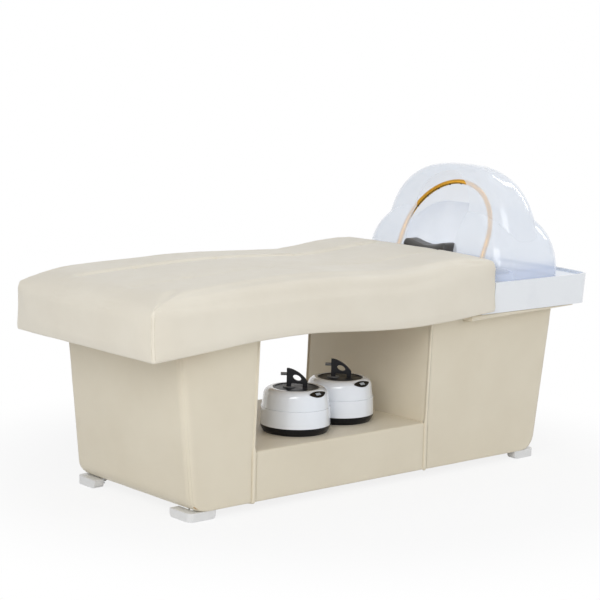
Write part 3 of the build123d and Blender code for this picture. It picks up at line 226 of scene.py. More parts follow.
def calculate(group, operation, first, second):
    """One sum of two values, each a number or a socket."""
    made = group.nodes.new("ShaderNodeMath")
    made.operation = operation
    for slot, value in zip(made.inputs, (first, second)):
        if isinstance(value, (int, float)):
            slot.default_value = value
        else:
            group.links.new(value, slot)
    return made.outputs[0]


def blend_colours(group, share, first, second):
    """Two colours mixed by a value."""
    mix = group.nodes.new("ShaderNodeMix")
    mix.data_type = "RGBA"
    group.links.new(share, mix.inputs["Factor"])
    for slot, value in ((mix.inputs[6], first), (mix.inputs[7], second)):
        if isinstance(value, tuple):
            slot.default_value = value
        else:
            group.links.new(value, slot)
    return mix.outputs[2]


moulded, moulded_in, moulded_out, coords = effect_group("moulded surface", [
    ("Colour", "NodeSocketColor", (0.8, 0.8, 0.8, 1)),
    ("Dull colour", "NodeSocketColor", (0.7, 0.7, 0.7, 1)),
    ("Gloss", "NodeSocketFloat", 0.3),
    ("Scuffed", "NodeSocketFloat", 0.4),
    ("Patch scale", "NodeSocketFloat", 9.0),
    ("Peel scale", "NodeSocketFloat", 260.0),
])
patches = noise_node(moulded, coords, 9, 5, 0.6, linked=moulded_in.outputs["Patch scale"])
worn = ranged(moulded, patches, 0.0, 1.0, 0.52, 0.78)
moulded.links.new(
    blend_colours(moulded, worn, moulded_in.outputs["Colour"], moulded_in.outputs["Dull colour"]),
    moulded_out.inputs["Colour"],
)
moulded.links.new(
    ranged(moulded, patches, moulded_in.outputs["Gloss"], moulded_in.outputs["Scuffed"], 0.4, 0.75),
    moulded_out.inputs["Roughness"],
)
peel = noise_node(moulded, coords, 260, 2, 0.4, linked=moulded_in.outputs["Peel scale"])
moulded.links.new(peel, moulded_out.inputs["Height"])


def finish(name, group, values, bump, shader_values):
    """Material with one effect group on its shader: colour, roughness and a fine bump."""
    made = bpy.data.materials.new(name)
    made.use_nodes = True
    tree = made.node_tree
    shader = tree.nodes["Principled BSDF"]
    effect = tree.nodes.new("ShaderNodeGroup")
    effect.node_tree = group
    for label, value in values.items():
        effect.inputs[label].default_value = value
    raised = tree.nodes.new("ShaderNodeBump")
    raised.inputs["Strength"].default_value = bump[0]
    raised.inputs["Distance"].default_value = bump[1]
    tree.links.new(effect.outputs["Height"], raised.inputs["Height"])
    tree.links.new(effect.outputs["Colour"], shader.inputs["Base Color"])
    tree.links.new(effect.outputs["Roughness"], shader.inputs["Roughness"])
    tree.links.new(raised.outputs[0], shader.inputs["Normal"])
    for label, value in shader_values.items():
        shader.inputs[label].default_value = value
    return made


def moulded_finish(name, colour, dull, gloss, scuffed, patch=9.0, peel_bump=0.08, **shader_values):
    """Moulded, cast or drawn surface, a little duller in patches."""
    values = {
        "Colour": linear(*colour), "Dull colour": linear(*dull),
        "Gloss": gloss, "Scuffed": scuffed, "Patch scale": patch,
    }
    named = {label.replace("_", " "): value for label, value in shader_values.items()}
    return finish(name, moulded, values, (peel_bump, 0.0004), named)


def dress(made, *slots):
    """Give a material to every solid of the named slots."""
    for node, slot in slot_of.items():
        if slot in slots:
            solid = nodes[node]
            solid.data.materials.clear()
            solid.data.materials.append(made)


dress(moulded_finish("white foot plastic", (233, 233, 232), (216, 214, 210), 0.34, 0.5), "white_plastic")

# Base covers. Cream synthetic leather over a thin layer of foam, pulled round the plywood
# pedestals and the tray of the bay, sewn at the foot corners and beside the bay, and hemmed
# underneath. The skins stand in for the three plain cover solids.

leather, leather_in, leather_out, coords = effect_group("synthetic leather", [
    ("Colour", "NodeSocketColor", (0.7, 0.7, 0.6, 1)),
    ("Shade", "NodeSocketColor", (0.6, 0.6, 0.5, 1)),
    ("Grain scale", "NodeSocketFloat", 620.0),
])
clouds = noise_node(leather, coords, 5, 4, 0.55)
leather.links.new(
    blend_colours(
        leather, ranged(leather, clouds, 0.0, 0.75, 0.35, 0.7),
        leather_in.outputs["Colour"], leather_in.outputs["Shade"],
    ),
    leather_out.inputs["Colour"],
)
rubbed = noise_node(leather, coords, 22, 5, 0.6)
leather.links.new(ranged(leather, rubbed, 0.40, 0.54), leather_out.inputs["Roughness"])
cells = leather.nodes.new("ShaderNodeTexVoronoi")
cells.feature = "SMOOTH_F1"
leather.links.new(coords.outputs["Object"], cells.inputs["Vector"])
leather.links.new(leather_in.outputs["Grain scale"], cells.inputs["Scale"])
creases = noise_node(leather, coords, 90, 4, 0.6)
leather.links.new(
    calculate(leather, "ADD", cells.outputs["Distance"], calculate(leather, "MULTIPLY", creases, 1.4)),
    leather_out.inputs["Height"],
)


def leather_finish(name, colour, shade):
    """Soft synthetic leather with a fine pebbled grain and a low sheen."""
    return finish(
        name, leather, {"Colour": linear(*colour), "Shade": linear(*shade)}, (0.35, 0.0006),
        {"Sheen Weight": 0.12, "Sheen Roughness": 0.4, "Specular IOR Level": 0.42},
    )


base_leather = leather_finish("base leather", (232, 223, 202), (226, 216, 194))
thread = finish(
    "sewing thread", leather,
    {"Colour": linear(221, 212, 192), "Shade": linear(206, 196, 174), "Grain scale": 2600.0},
    (0.5, 0.0003), {"Specular IOR Level": 0.3},
)

foot_x = -0.950
base_low = 0.027
base_high = 0.545
base_half = 0.300
foot_wall, foot_lean = foot_x + 0.189, 0.052
head_wall, head_lean = foot_x + 1.672, 0.076
bay_low = 0.184
bay_foot = foot_x + 0.424
bay_head = foot_x + 1.142
bay_slope = 0.014 / (base_high - bay_low)
end_round = 0.047
corner_round = 0.026
seat_gap = 0.0006
underside_low = 0.502
underside_rise = 0.034
apron_start = foot_x + 1.295
apron_low = 0.509
apron_slope = 0.0307
wave_length = 1.390
wave_rows = (
    (0.00, 0.00, 0.00), (0.07, 0.21, 0.35), (0.16, 0.50, 0.54), (0.26, 0.84, 0.67), (0.36, 0.97, 0.78),
    (0.45, 0.96, 0.79), (0.53, 0.75, 0.71), (0.62, 0.51, 0.60), (0.71, 0.38, 0.52), (0.78, 0.41, 0.63),
    (0.86, 0.57, 0.88), (0.93, 0.79, 1.00), (1.00, 1.00, 1.00),
)


def wave(x, column):
    """Height share of the mattress wave at a place, smooth through its listed rows."""
    along = min(max((x - foot_x) / wave_length, 0.0), 1.0)
    last = len(wave_rows) - 1
    row = min(max(sum(1 for known in wave_rows if known[0] <= along) - 1, 0), last - 1)
    before, low, high, after = (wave_rows[min(max(row + step, 0), last)] for step in (-1, 0, 1, 2))
    gap = high[0] - low[0]
    part = (along - low[0]) / gap
    slope_low = (high[column] - before[column]) / (high[0] - before[0]) * gap
    slope_high = (after[column] - low[column]) / (after[0] - low[0]) * gap
    return (
        low[column] * (1 + 2 * part) * (1 - part) ** 2 + slope_low * part * (1 - part) ** 2
        + high[column] * part ** 2 * (3 - 2 * part) + slope_high * part ** 2 * (part - 1)
    )


def underside(x):
    """Height of the mattress underside."""
    return underside_low + underside_rise * wave(x, 1)


def apron_under(x):
    """Height of the sloping underside of the apron."""
    return apron_low + (x - apron_start) * apron_slope


def base_top(x):
    """Height where the base ends, under the mattress and then under the sloping apron."""
    return (underside(x) if x < apron_start else apron_under(x)) - seat_gap


def mesh_piece(name, points, faces, material):
    """Smooth mesh object from points and faces."""
    mesh = bpy.data.meshes.new(name)
    mesh.from_pydata([tuple(point) for point in points], [], faces)
    mesh.shade_smooth()
    mesh.materials.append(material)
    made = bpy.data.objects.new(name, mesh)
    scene.collection.objects.link(made)
    return made


def resting(piece):
    """Spot and outward way of each point of a piece, read before any is moved."""
    piece.data.update()
    return [(vertex.co.copy(), vertex.normal.copy()) for vertex in piece.data.vertices]


def settle(piece, spots):
    """Put the points of a piece in new spots."""
    piece.data.vertices.foreach_set("co", [value for spot in spots for value in spot])
    piece.data.update()


def steps(start, end, pitch):
    """Even steps from start to end, both ends in, about a pitch apart."""
    count = max(1, round(abs(end - start) / pitch))
    return [start + (end - start) * step / count for step in range(count + 1)]


def low_curve(height):
    """How far the rounded lower edge of an end wall has drawn in at a height."""
    rise = min(height - base_low, end_round)
    return end_round - math.sqrt(max(end_round ** 2 - (end_round - rise) ** 2, 0))


def drape(point):
    """Slow unevenness of foam under leather."""
    return 0.0006 * (noise.noise(point * 7.0) + 0.5 * noise.noise(point * 19.0))


def fading(away, width):
    """1 on a line, falling off smoothly over a width."""
    return math.exp(-((away / width) ** 2))


def thicken(skin):
    """Give a skin the thickness of its leather and foam, inwards."""
    thick = skin.modifiers.new("leather and foam", "SOLIDIFY")
    thick.thickness = 0.003
    thick.offset = -1


def bay_wall(start):
    """Place of a bay wall at any height: upright below the bay's floor, leaning above it."""
    return lambda level: start + max(level - bay_low, 0) * bay_slope


def pedestal(name, end_spot, bay_spot, outward):
    """Skin of one pedestal: rings up the outer wall, rounded at its end corners, with a hem below."""
    edge = 0.003
    wall_start, wall_end, wall_pitch = (0.93, 0.145, 0.0385) if outward < 0 else (0.96, 0.06, 0.018)
    loop = []
    for side in (-1, 1):
        run = [("bay", edge * (1 - math.sin(turn)), base_half - edge * (1 - math.cos(turn)))
               for turn in steps(0, math.pi / 2, 0.4)]
        run.append(("bay", 0.012, base_half))
        run += [(share, 0, base_half) for share in steps(wall_start, wall_end, wall_pitch)]
        run += [
            ("end", corner_round * (1 - math.sin(turn)), base_half - corner_round * (1 - math.cos(turn)))
            for turn in steps(0, math.pi / 2, 0.08)
        ]
        across = [("end", 0, y) for y in steps(base_half - corner_round, 0, 0.013)[1:]]
        run += across if side < 0 else across[:-1]
        back = [("bay", 0, y) for y in steps(0, base_half - edge, 0.013)[:-1]]
        run = (back if side < 0 else back[1:]) + run
        half = [(kind, offset, side * y) for kind, offset, y in run]
        loop += half if side < 0 else half[::-1]
    hem = [(0.0, inset) for inset in (0.042, 0.022, 0.008, 0.003)]
    rise = [(0.0012, 0.0012), (0.003, 0.0002)]
    wall_height = base_top(bay_spot(0.5)) - base_low
    rows = hem + rise + [(height, 0) for height in steps(0.008, wall_height, 0.0115)]
    full = rows[-1][0]
    points = []
    for height, inset in rows:
        for kind, offset, y in loop:
            level = base_low + height
            ends = end_spot(level) - outward * low_curve(level)
            bay = bay_spot(level)
            if kind == "bay":
                x = bay + outward * offset
            elif kind == "end":
                x = ends - outward * offset
            else:
                x = bay + (ends - bay) * (1 - kind)
            middle = (ends + bay) / 2
            x = middle + (x - middle) * (1 - inset / abs(ends - bay) * 2)
            spread = y * (1 - inset / base_half)
            top = base_top(x) - base_low
            stretch = 1 if height < 0.02 else 1 + (top / full - 1) * height / full
            points.append(Vector((x, spread, base_low + height * stretch)))
    count = len(loop)
    faces = []
    for row in range(len(rows) - 1):
        for spot in range(count):
            after = (spot + 1) % count
            low, high = row * count, (row + 1) * count
            on_bay = loop[spot][0] == loop[after][0] == "bay"
            inside = on_bay and max(abs(loop[spot][2]), abs(loop[after][2])) < base_half - 0.002
            if inside and points[low + spot].z < bay_low - 0.012:
                continue
            faces.append((low + spot, low + after, high + after, high + spot))
    if outward < 0:
        faces = [face[::-1] for face in faces]
    made = mesh_piece(name, points, faces, base_leather)
    seams = corner_round * (1 - math.sqrt(0.5))
    spots = []
    for spot, out in resting(made):
        pull = drape(spot)
        bay = bay_spot(spot.z)
        if spot.z < bay_low + 0.002 and abs(spot.y) > base_half - 0.004:
            gap = abs(spot.x - bay)
            pull -= 0.004 * max(0, 1 - gap / 0.008) ** 2
        ends = end_spot(spot.z) - outward * low_curve(spot.z)
        away = math.hypot(abs(spot.x - ends) - seams, base_half - seams - abs(spot.y))
        pull -= 0.0011 * fading(away, 0.0024) - 0.0004 * fading(away - 0.0045, 0.0025)
        spots.append(spot + out * pull)
    settle(made, spots)
    thicken(made)
    return made


def foot_end(level):
    """Leaning foot wall of the base."""
    return foot_wall - foot_lean * (level - base_low) / (base_high - base_low)


def head_end(level):
    """Leaning head wall of the base."""
    return head_wall + head_lean * (level - base_low) / (base_high - base_low)


foot_skin = pedestal("foot_cover_skin", foot_end, bay_wall(bay_foot), -1)
head_skin = pedestal("head_cover_skin", head_end, bay_wall(bay_head), 1)
for skin, node in ((foot_skin, "foot_cover"), (head_skin, "head_cover")):
    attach(skin, "bed")
    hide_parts(node)

tray_round = 0.008
tray_length = 0.718
tray_deep = bay_low - base_low
tray_section = [(-base_half + hem, 0) for hem in (0.042, 0.02, 0.006)] + [(-base_half + 0.0012, 0.0012)]
tray_section += [(-base_half, rise) for rise in steps(0.005, tray_deep - tray_round, 0.0115)]
tray_section += [
    (-base_half + tray_round * (1 - math.cos(turn)), tray_deep - tray_round * (1 - math.sin(turn)))
    for turn in steps(0.26, math.pi / 2, 0.26)
]
tray_section += [(y, tray_deep) for y in steps(-base_half + 0.014, 0, 0.0125)]
tray_section += [(-y, rise) for y, rise in tray_section[-2::-1]]
tray_ends = [0, 0.0008, 0.002, 0.004, 0.008]
tray_lines = tray_ends + steps(0.016, tray_length - 0.016, 0.0125)
tray_lines += [tray_length - line for line in tray_ends[::-1]]
tray_points = []
for along in tray_lines:
    gap = min(along, tray_lines[-1] - along)
    turned = 0.004 * max(0, 1 - gap / 0.008) ** 2
    for y, rise in tray_section:
        sunk = turned * 0.25 if abs(y) < base_half - 0.01 else turned
        spot = Vector((bay_foot + along, y, base_low + rise))
        soft = 0.0005 * noise.noise(spot * 9) - 0.0005
        if abs(y) > base_half - 0.001:
            spot.y -= math.copysign(sunk - soft, y)
        elif rise > 0.02:
            spot.z += soft - sunk
        tray_points.append(spot)
across = len(tray_section)
tray_faces = [
    (low + spot, low + across + spot, low + across + spot + 1, low + spot + 1)
    for low in range(0, (len(tray_lines) - 1) * across, across)
    for spot in range(across - 1)
]
tray_skin = mesh_piece("tray_cover_skin", tray_points, tray_faces, base_leather)
thicken(tray_skin)
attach(tray_skin, "bed")
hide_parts("tray_cover")

# Stitching of the base. Rows of short cream stitches, two beside each foot and head corner
# seam and one each side of the joins under the bay, pulled slightly into the leather.


def stitch_rows(name, rows, body, length=0.0045, pitch=0.0068, radius=0.00055):
    """Stitches along rows, each a list of spots on the leather with the way out of it."""
    bent = ((-0.5, -0.5, 0.6), (-0.3, 0.55, 1), (0.3, 0.55, 1), (0.5, -0.5, 0.6))
    points, faces = [], []
    for row in rows:
        due = pitch / 2
        for (start, out_start), (end, out_end) in zip(row, row[1:]):
            run = (end - start).length
            while due < run:
                out = out_start.lerp(out_end, due / run).normalized()
                way = (end - start).normalized()
                side = way.cross(out)
                middle = start.lerp(end, due / run)
                first = len(points)
                for along, lift, size in bent:
                    for corner in range(6):
                        turn = math.tau * corner / 6
                        raised = out * (radius * (lift + size * math.cos(turn)))
                        aside = side * (radius * size * math.sin(turn))
                        points.append(middle + way * (along * length) + raised + aside)
                for ring in range(3):
                    for corner in range(6):
                        after = (corner + 1) % 6
                        low, high = first + ring * 6, first + (ring + 1) * 6
                        faces.append((low + corner, low + after, high + after, high + corner))
                faces.append(tuple(first + corner for corner in range(5, -1, -1)))
                faces.append(tuple(first + 18 + corner for corner in range(6)))
                due += pitch
            due -= run
    made = mesh_piece(name, points, faces, thread)
    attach(made, body)
    return made


base_rows = []
for end_spot, outward in ((foot_end, -1), (head_end, 1)):
    for side in (-1, 1):
        middles = [
            Vector((
                end_spot(level) - outward * (low_curve(level) + corner_round),
                side * (base_half - corner_round), level,
            ))
            for level in steps(base_low + 0.012, 0.478, 0.012)
        ]
        for turn in (math.radians(35), math.radians(55)):
            out = Vector((outward * math.cos(turn), side * math.sin(turn), 0))
            base_rows.append([(middle + out * (corner_round + 0.0002), out) for middle in middles])
for seam_x in (bay_foot, bay_head):
    for side in (-1, 1):
        for shift in (-0.010, 0.010):
            base_rows.append([
                (Vector((seam_x + shift, side * base_half, level)), Vector((0, side, 0)))
                for level in steps(base_low + 0.010, bay_low - 0.012, 0.012)
            ])
stitch_rows("base_stitching", base_rows, "bed")

# Carcass, battens, boards and their fixings. Plywood and softwood, zinc-plated screws and
# bolts; all of it is hidden by the covers and the mattress.
timber, timber_in, timber_out, coords = effect_group("sawn timber", [
    ("Colour", "NodeSocketColor", (0.6, 0.45, 0.3, 1)),
    ("Late wood", "NodeSocketColor", (0.45, 0.3, 0.18, 1)),
    ("Ring scale", "NodeSocketFloat", 60.0),
])
ring_scale = timber_in.outputs["Ring scale"]
rings = noise_node(timber, coords, 60, 5, 0.6, stretch=(0.08, 1.0, 1.0), linked=ring_scale)
timber.links.new(
    blend_colours(
        timber, ranged(timber, rings, 0, 1, 0.4, 0.62),
        timber_in.outputs["Colour"], timber_in.outputs["Late wood"],
    ),
    timber_out.inputs["Colour"],
)
timber.links.new(ranged(timber, rings, 0.5, 0.72), timber_out.inputs["Roughness"])
timber.links.new(rings, timber_out.inputs["Height"])
dress(
    finish(
        "birch plywood", timber,
        {"Colour": linear(214, 186, 146), "Late wood": linear(188, 152, 108)},
        (0.3, 0.0004), {},
    ),
    "plywood",
)
dress(
    finish(
        "pine batten", timber,
        {"Colour": linear(222, 190, 140), "Late wood": linear(184, 136, 84), "Ring scale": 90.0},
        (0.35, 0.0005), {},
    ),
    "softwood",
)
dress(
    moulded_finish("zinc plate", (186, 190, 194), (150, 154, 158), 0.28, 0.45, 60, Metallic=1.0),
    "zinc_steel",
)
dress(moulded_finish("grey gland", (120, 122, 124), (96, 98, 100), 0.4, 0.55), "grey_plastic")

# Mattress. Cream synthetic leather sewn over a deep block of foam that waves along its length.
# Two channels run lengthways and are tufted down every 315 mm, the sides are drawn in, and the
# corners are closed with a twice-stitched upright seam.
mattress_half = 0.3625
mattress_end = foot_x + wave_length
top_low = 0.669
top_rise = 0.046
top_round = 0.036
foot_corner, head_corner, side_corner = 0.015, 0.010, 0.013
channel_y = 0.140
tuft_spots = [(foot_x + 0.300 + 0.315 * row, side * channel_y) for row in range(4) for side in (-1, 1)]
mattress_leather = leather_finish("mattress leather", (239, 232, 216), (233, 225, 208))


def lattice(name, lines, spot_of, material, window=None):
    """Closed shell of a box grid, with each grid point put in its place; window leaves a hole."""
    counts = [len(line) - 1 for line in lines]
    known, points, faces = {}, [], []

    def corner(i, j, k):
        if (i, j, k) not in known:
            known[i, j, k] = len(points)
            points.append(spot_of(lines[0][i], lines[1][j], lines[2][k]))
        return known[i, j, k]

    def side(spots, flip):
        made = [corner(*spot) for spot in spots]
        faces.append(made[::-1] if flip else made)

    low_i, high_i, low_j, high_j = window or (0, 0, 0, 0)
    for i in range(counts[0]):
        for j in range(counts[1]):
            if low_i <= i < high_i and low_j <= j < high_j:
                continue
            for k in (0, counts[2]):
                side(((i, j, k), (i + 1, j, k), (i + 1, j + 1, k), (i, j + 1, k)), k == 0)
    for k in range(counts[2]):
        for i in range(counts[0]):
            for j in (0, counts[1]):
                side(((i, j, k), (i + 1, j, k), (i + 1, j, k + 1), (i, j, k + 1)), j != 0)
        for j in range(counts[1]):
            for i in (0, counts[0]):
                side(((i, j, k), (i, j, k + 1), (i, j + 1, k + 1), (i, j + 1, k)), i != 0)
        for i in range(low_i, high_i):
            for j in (low_j, high_j):
                side(((i, j, k), (i + 1, j, k), (i + 1, j, k + 1), (i, j, k + 1)), j != high_j)
        for j in range(low_j, high_j):
            for i in (low_i, high_i):
                side(((i, j, k), (i, j, k + 1), (i, j + 1, k + 1), (i, j + 1, k)), i != high_i)
    return mesh_piece(name, points, faces, material)


def rounded(point, low, high, low_round, high_round):
    """A point of a box surface moved onto the same box with rounded edges."""
    inner, pull = [], []
    for value, start, end, first, last in zip(point, low, high, low_round, high_round):
        if value < start + first:
            inner.append(start + first)
            pull.append(((value - start - first) / first, first))
        elif value > end - last:
            inner.append(end - last)
            pull.append(((value - end + last) / last, last))
        else:
            inner.append(value)
            pull.append((0.0, 1.0))
    size = math.sqrt(sum(share ** 2 for share, _ in pull)) or 1.0
    return Vector(core + share / size * radius for core, (share, radius) in zip(inner, pull))


def stuffed(piece, held, most):
    """Blow a piece up a little with cloth and pressure: held points stay, the rest move by most."""
    group = piece.vertex_groups.new(name="held")
    group.add(held, 1.0, "REPLACE")
    rest = [vertex.co.copy() for vertex in piece.data.vertices]
    cloth = piece.modifiers.new("stuffing", "CLOTH")
    cloth.settings.quality = 4
    cloth.settings.mass = 0.4
    cloth.settings.vertex_group_mass = "held"
    cloth.settings.use_pressure = True
    cloth.settings.uniform_pressure_force = 4
    cloth.settings.effector_weights.gravity = 0
    cloth.collision_settings.use_collision = False
    cloth.point_cache.frame_start = 1
    cloth.point_cache.frame_end = 20
    for moment in range(1, 21):
        scene.frame_set(moment)
    blown = piece.evaluated_get(bpy.context.evaluated_depsgraph_get()).data
    moved = [vertex.co.copy() for vertex in blown.vertices]
    piece.modifiers.remove(cloth)
    scene.frame_set(1)
    shifts = [end - start for start, end in zip(rest, moved)]
    settle(piece, [
        start + shift * min(1, most / max(shift.length, most)) for start, shift in zip(rest, shifts)
    ])
    piece.vertex_groups.clear()


def top_side(x):
    """Height of the mattress top at its long edges."""
    return top_low + top_rise * wave(x, 2)


def drawn_in(share):
    """How far the long sides are drawn in at a share of the mattress's height."""
    return 0.005 * share + 0.004 * math.sin(math.pi * min(max(share, 0), 1))


def mattress_spot(x, y, rise):
    """Spot of the mattress shell from a place along it, across it and a share of its height."""
    low = underside(x)
    deep = top_side(x) - low
    spot = rounded(
        (x, y, rise * deep), (foot_x, -mattress_half, 0), (mattress_end, mattress_half, deep),
        (foot_corner, side_corner, 0.008), (head_corner, side_corner, 0.0015),
    )
    over_foot = 1 - (spot.x - foot_x) / top_round
    over_head = 1 - (mattress_end - spot.x) / top_round
    along = max(over_head, 0) - max(over_foot, 0)
    across = math.copysign(max(1 - (mattress_half - abs(spot.y)) / top_round, 0), spot.y)
    over_side = max(abs(along), abs(across))
    over_top = 1 - (deep - spot.z) / top_round
    if over_side > 0 and over_top > 0:
        spot += Vector((along, across, 0)) * (top_round * (math.sqrt(1 - over_top ** 2 / 2) - 1))
        spot.z += over_top * top_round * (math.sqrt(1 - over_side ** 2 / 2) - 1)
    share = spot.z / deep
    spot.y -= math.copysign(drawn_in(share), spot.y) * min(abs(spot.y) / mattress_half, 1) ** 12
    if spot.z > deep * 0.5:
        spot.z += 0.004 * (1 - (spot.y / mattress_half) ** 2) * min(max((share - 0.8) * 5, 0), 1)
    spot.z += low
    return spot


edge_lines = [0, 0.0015, 0.0035, 0.006, 0.009, 0.0125, 0.0165, 0.022, 0.028, 0.035]
mattress_x = [foot_x + line for line in edge_lines] + steps(foot_x + 0.044, mattress_end - 0.044, 0.0115)
mattress_x += [mattress_end - line for line in edge_lines[::-1]]
near_channel = [0.118, 0.125, 0.130, 0.134, 0.1372, 0.140, 0.1428, 0.146, 0.150, 0.155, 0.162]
half_lines = steps(0, 0.108, 0.0125)[1:] + near_channel + steps(0.173, 0.319, 0.0115)
half_lines += [mattress_half - line for line in edge_lines[::-1]]
mattress_y = [-line for line in half_lines[::-1]] + [0] + half_lines
mattress_z = [0, 0.012, 0.028, 0.05] + steps(0.1, 0.8, 0.07)
mattress_z += [0.845, 0.88, 0.91, 0.935, 0.955, 0.972, 0.986, 1]
mattress_lines = (mattress_x, mattress_y, mattress_z)
mattress = lattice("mattress_cushion", mattress_lines, mattress_spot, mattress_leather)
held = []
for vertex in mattress.data.vertices:
    spot = vertex.co
    on_channel = abs(abs(spot.y) - channel_y) < 0.004 and spot.z > underside(spot.x) + 0.1
    on_channel = on_channel and foot_x + 0.08 < spot.x < mattress_end - 0.08
    at_end = spot.x < foot_x + 0.010 or spot.x > mattress_end - 0.014
    at_corner = at_end and abs(spot.y) > mattress_half - 0.014
    if on_channel or at_corner or spot.z < underside(spot.x) + 0.010:
        held.append(vertex.index)
stuffed(mattress, held, 0.006)
finer = mattress.modifiers.new("finer", "SUBSURF")
finer.levels = 1
finer.render_levels = 1
finished = mattress.evaluated_get(bpy.context.evaluated_depsgraph_get())
fine_mesh = bpy.data.meshes.new_from_object(finished)
mattress.modifiers.remove(finer)
mattress.data = fine_mesh
in_corner = 1 - math.sqrt(0.5)
seam_x = foot_x + foot_corner * in_corner
seam_y = mattress_half - 0.005 - side_corner * in_corner


def top_pull(spot):
    """How far the channels and tufts pull the top down at a spot."""
    off = abs(spot.y) - channel_y
    inward = min(spot.x - foot_x, mattress_end - spot.x)
    shown = min(max((inward - 0.04) / 0.10, 0), 1)
    ripple = math.sin(spot.x * 520 + 3 * noise.noise(spot * 30))
    pull = shown * (0.0026 * fading(off, 0.011) + 0.0010 * fading(off, 0.0018))
    pull += shown * 0.0003 * fading(off, 0.016) * ripple
    for tuft_x, tuft_y in tuft_spots:
        along, aside = spot.x - tuft_x, spot.y - tuft_y
        reach = math.hypot(along, aside)
        if reach < 0.12:
            turn = math.atan2(aside, along)
            folds = math.cos(2 * (turn - math.pi / 4)) ** 12 + 0.4 * math.cos(2 * turn) ** 20
            pull += 0.0062 * fading(reach, 0.012) + 0.0050 * folds * math.exp(-reach / 0.030)
    return pull


spots = []
for spot, out in resting(mattress):
    pull = 0.0010 * noise.noise(spot * 6.5) + 0.0004 * noise.noise(spot * 23)
    if out.z > 0.5:
        pull -= top_pull(spot)
    elif out.z > -0.3:
        end_gap = min(abs(spot.x - seam_x), abs(mattress_end - spot.x) * 1.2)
        away = math.hypot(end_gap, abs(spot.y) - seam_y)
        pull -= 0.0018 * fading(away, 0.0026)
        gather = fading(away - 0.008, 0.007)
        pull += 0.0005 * gather * math.sin(spot.z * 900 + 4 * noise.noise(spot * 40))
    spots.append(spot + out * pull)
settle(mattress, spots)
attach(mattress, "bed")
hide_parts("mattress")

mattress_rows = []
for side in (-1, 1):
    for end, outward, across in ((foot_x, -1, foot_corner), (mattress_end, 1, head_corner)):
        levels = steps(underside(end) + 0.012, top_side(end) - 0.030, 0.010)
        for turn in (math.radians(25), math.radians(65)):
            out = Vector((outward * math.cos(turn), side * math.sin(turn), 0))
            row = []
            for level in levels:
                drawn = drawn_in((level - levels[0]) / (levels[-1] - levels[0]))
                half = mattress_half - side_corner - drawn
                corner = Vector((end - outward * across, side * half, level))
                row.append((corner + Vector((out.x * across, out.y * side_corner, 0)), out))
            mattress_rows.append(row)
stitch_rows("mattress_stitching", mattress_rows, "bed")

# Apron. A thin padded cradle of the same leather, wedge-shaped, screwed under the basin, with a
# window for the bowl. It overhangs the base a little and closes the gap below the basin.
apron_end = foot_x + 1.806
apron_half = 0.345
apron_top = 0.5272
apron_corner = 0.030
window_start, window_end = foot_x + 1.440, foot_x + 1.716
window_half = 0.250


def apron_spot(x, y, rise):
    """Spot of the apron shell, thick at its front and thin at its back."""
    low = apron_under(x)
    deep = apron_top - low
    edge = min(0.006, deep * 0.45)
    spot = rounded(
        (x, y, rise * deep), (apron_start, -apron_half, 0), (apron_end, apron_half, deep),
        (0.006, 0.006, edge), (0.024, 0.006, edge),
    )
    corner = Vector((apron_end - apron_corner, apron_half - apron_corner))
    away = Vector((spot.x - corner.x, abs(spot.y) - corner.y))
    if away.x > 0 and away.y > 0 and away.length > apron_corner:
        away *= apron_corner / away.length
        spot.x, spot.y = corner.x + away.x, math.copysign(corner.y + away.y, spot.y)
    spot.z += low
    return spot + Vector((0, 0, -0.0008 * noise.noise(spot * 9) ** 2))


apron_lips = [0, 0.001, 0.0025, 0.0045, 0.0075]
apron_x = [apron_start + line for line in apron_lips]
apron_x += steps(foot_x + 1.312, foot_x + 1.434, 0.0122) + steps(window_start, window_end, 0.0125)
apron_x += steps(foot_x + 1.728, foot_x + 1.786, 0.010)
apron_x += [apron_end - line for line in (0.015, 0.010, 0.006, 0.003, 0.001, 0)]
apron_side = steps(0.0125, window_half, 0.0125) + steps(0.262, 0.334, 0.0121)
apron_side += [apron_half - line for line in apron_lips[::-1]]
apron_y = [-line for line in apron_side[::-1]] + [0] + apron_side
apron_lines = (apron_x, apron_y, [0, 0.1, 0.25, 0.5, 0.75, 0.9, 1])
hole_x = [place for place, x in enumerate(apron_x) if window_start - 0.0001 < x < window_end + 0.0001]
hole_y = [place for place, y in enumerate(apron_y) if abs(y) < window_half + 0.0001]
hole = (hole_x[0], hole_x[-1], hole_y[0], hole_y[-1])
apron = lattice("apron_pad", apron_lines, apron_spot, base_leather, hole)
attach(apron, "bed")
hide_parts("basin_apron")

# Basin, drain and hoses. The basin is one glossy white moulding with a raised rim, a sunk deck
# and an oval bowl. A steel strainer lifts out of it; trap, pump and hoses are under it.
deck_top = 0.628
basin_finish = moulded_finish(
    "white basin acrylic", (246, 249, 252), (240, 243, 247), 0.10, 0.2, 6, 0.03,
    Coat_Weight=0.6, Coat_Roughness=0.04,
)
tree = basin_finish.node_tree
basin_place = tree.nodes.new("ShaderNodeTexCoord")
axes = tree.nodes.new("ShaderNodeSeparateXYZ")
tree.links.new(basin_place.outputs["Object"], axes.inputs[0])
ways = tree.nodes.new("ShaderNodeSeparateXYZ")
tree.links.new(basin_place.outputs["Normal"], ways.inputs[0])
# Upward faces of the sunk deck and bowl are tinted darker and bluer than the rim: part blue tint of the
# moulding, part painted shade of the hood over them.
inside = calculate(tree, "LESS_THAN", axes.outputs["Z"], deck_top)
inside = calculate(tree, "MULTIPLY", inside, calculate(tree, "GREATER_THAN", ways.outputs["Z"], 0.2))
shader = tree.nodes["Principled BSDF"]
white = shader.inputs["Base Color"].links[0].from_socket
tree.links.new(blend_colours(tree, inside, white, linear(211, 224, 244)), shader.inputs["Base Color"])
dress(basin_finish, "white_basin")
dress(
    moulded_finish("polished steel", (214, 216, 218), (190, 192, 196), 0.10, 0.22, 40, Metallic=1.0),
    "polished_steel",
)
dress(moulded_finish("drain plastic", (226, 226, 222), (206, 205, 200), 0.35, 0.5), "drain_plastic")
